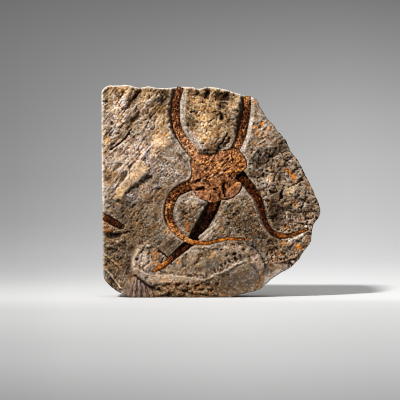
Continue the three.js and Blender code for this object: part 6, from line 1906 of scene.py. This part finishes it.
# the floor's colour is painted brightest just in front of the slab and darker towards the front, the back and both
# sides: painted light falloff
FT = 0.76
ys = (-0.484, -0.469, -0.418, -0.343, -0.256, -0.152, -0.095, -0.044, -0.017, 0.010, 0.041, 0.072, 0.122, 0.207, 0.306, 0.49)
left = paper(list(zip(ys, tuple(FT * t for t in (.355, .368, .424, .502, .55, .633, .66, .750, .790, .770, .736, .682, .59, .500, .446, .40)))))
right = paper(list(zip(ys, tuple(FT * t for t in (.415, .43, .485, .563, .62, .692, .735, .80, .945, .950, .912, .876, .840, .758, .682, .60)))))
out = f.math("DIVIDE", f.math("MULTIPLY", f.math("ADD", sp.outputs[0], 0.0056), 1.4), f.math("ADD", sp.outputs[1], 1.4102))
edge_l = f.remap(out, -0.104, -0.062, 0.90, 0.99)
edge_r = f.remap(out, 0.0, 0.100, 1.0, 0.915)
f.link(f.mix(1.0, f.mix(f.remap(out, -0.09, 0.08), left, right), f.grey(f.math("MULTIPLY", edge_l, edge_r)), "MULTIPLY"), f.bsdf.inputs["Base Color"])
f.bsdf.inputs["Roughness"].default_value = 0.95
f.bsdf.inputs["Specular IOR Level"].default_value = 0.1
lens_ = f.nt.nodes.new("ShaderNodeVectorMath")
lens_.operation = "LENGTH"
f.link(f.pos, lens_.inputs[0])
solid_b = f.remap(sp.outputs[1], 0.165, 0.66, 1.0, 0.0)
solid_r = f.remap(lens_.outputs["Value"], 0.62, 0.88, 1.0, 0.0)
f.link(f.math("MULTIPLY", solid_b, solid_r), f.bsdf.inputs["Alpha"])
fl.materials.append(f.mat)

world = bpy.data.worlds.new("studio")
bpy.context.scene.world = world
world.use_nodes = True
wt = world.node_tree
wt.nodes.clear()
wout = wt.nodes.new("ShaderNodeOutputWorld")
tc = wt.nodes.new("ShaderNodeTexCoord")
wsp = wt.nodes.new("ShaderNodeSeparateXYZ")
wt.links.new(tc.outputs["Generated"], wsp.inputs[0])


def wramp(x, lo, hi, rows):
    m = wt.nodes.new("ShaderNodeMapRange")
    m.inputs["From Min"].default_value = lo
    m.inputs["From Max"].default_value = hi
    wt.links.new(x, m.inputs["Value"])
    n = wt.nodes.new("ShaderNodeValToRGB")
    wt.links.new(m.outputs["Result"], n.inputs[0])
    el = n.color_ramp.elements
    while len(el) < len(rows):
        el.new(0.5)
    for e, (p, c) in zip(el, rows):
        e.position = (p - lo) / (hi - lo)
        e.color = c
    return n.outputs[0]


def elev(v):
    return math.sin(math.radians(-1.4485) - math.atan((v - 200) / 2692))


# the backdrop the camera sees is painted: grey at the top, paler low down and darker at the sides, the studio light's
# falloff painted in; other rays get the plain ambient below
lo_e, hi_e = elev(305), elev(-5)
wl = [(300, 231), (280, 205), (260, 182), (240, 169), (220, 159), (200, 154), (180, 148), (160, 145), (140, 141), (120, 137), (80, 130), (40, 122), (0, 112)]
wr = [(300, 242), (280, 235), (260, 219), (240, 210), (220, 203), (200, 198), (180, 193), (160, 189), (140, 182), (120, 176), (80, 159), (40, 142), (0, 124)]
cl = wramp(wsp.outputs[2], lo_e, hi_e, [(elev(v), lin((g, g, g))) for v, g in wl])
cr = wramp(wsp.outputs[2], lo_e, hi_e, [(elev(v), lin((g, g, g))) for v, g in wr])
mx = wt.nodes.new("ShaderNodeMapRange")
mx.inputs["From Min"].default_value = -0.068
mx.inputs["From Max"].default_value = 0.054
wt.links.new(wsp.outputs[0], mx.inputs["Value"])
mm = wt.nodes.new("ShaderNodeMix")
mm.data_type = "RGBA"
wt.links.new(mx.outputs["Result"], mm.inputs["Factor"])
wt.links.new(cl, mm.inputs[6])
wt.links.new(cr, mm.inputs[7])
mid_lift = wramp(wsp.outputs[0], -200 / 2692, 200 / 2692, [((u - 200) / 2692, (g, g, g, 1)) for u, g in
                 ((0, 0.95), (25, 0.99), (70, 1.0), (140, 1.0), (220, 1.0), (280, 0.99), (330, 0.955), (370, 0.925), (400, 0.90))])
ml = wt.nodes.new("ShaderNodeMix")
ml.data_type = "RGBA"
ml.blend_type = "MULTIPLY"
ml.inputs["Factor"].default_value = 1.0
wt.links.new(mm.outputs[2], ml.inputs[6])
wt.links.new(mid_lift, ml.inputs[7])
seen = wt.nodes.new("ShaderNodeBackground")
wt.links.new(ml.outputs[2], seen.inputs["Color"])
seen.inputs["Strength"].default_value = 1.055
amb = wramp(wsp.outputs[2], -1.0, 1.0, [(-1.0, (0.16, 0.16, 0.16, 1)), (-0.05, (0.16, 0.16, 0.16, 1)), (0.25, (0.24, 0.24, 0.24, 1)), (0.6, (0.60, 0.60, 0.60, 1)), (1.0, (0.66, 0.66, 0.66, 1))])
lit = wt.nodes.new("ShaderNodeBackground")
wt.links.new(amb, lit.inputs["Color"])
lp = wt.nodes.new("ShaderNodeLightPath")
ms = wt.nodes.new("ShaderNodeMixShader")
wt.links.new(lp.outputs["Is Camera Ray"], ms.inputs[0])
wt.links.new(lit.outputs[0], ms.inputs[1])
wt.links.new(seen.outputs[0], ms.inputs[2])
wt.links.new(ms.outputs[0], wout.inputs["Surface"])

sun_d = bpy.data.lights.new("key", "SUN")
sun_d.energy = 4.5
sun_d.angle = math.radians(6.5)
sun = bpy.data.objects.new("key", sun_d)
bpy.context.collection.objects.link(sun)
sun.location = (-0.5, -0.7, 0.8)
sun.rotation_euler = Vector((0.69, 0.9, -1.0)).to_track_quat("-Z", "Y").to_euler()

cam_d = bpy.data.cameras.new("camera")
cam_d.sensor_width = 36
cam_d.lens = 242.25
cam_d.clip_end = 20
cam_d.dof.use_dof = False
cam = bpy.data.objects.new("camera", cam_d)
bpy.context.collection.objects.link(cam)
cam.location = (-0.00575, -1.4102, 0.08626)
cam.rotation_euler = (Vector((-0.00575, -0.0102, 0.05086)) - cam.location).to_track_quat("-Z", "Y").to_euler()
bpy.context.scene.camera = cam
bpy.context.scene.view_settings.view_transform = "Standard"
bpy.context.scene.cycles.filter_width = 1.0
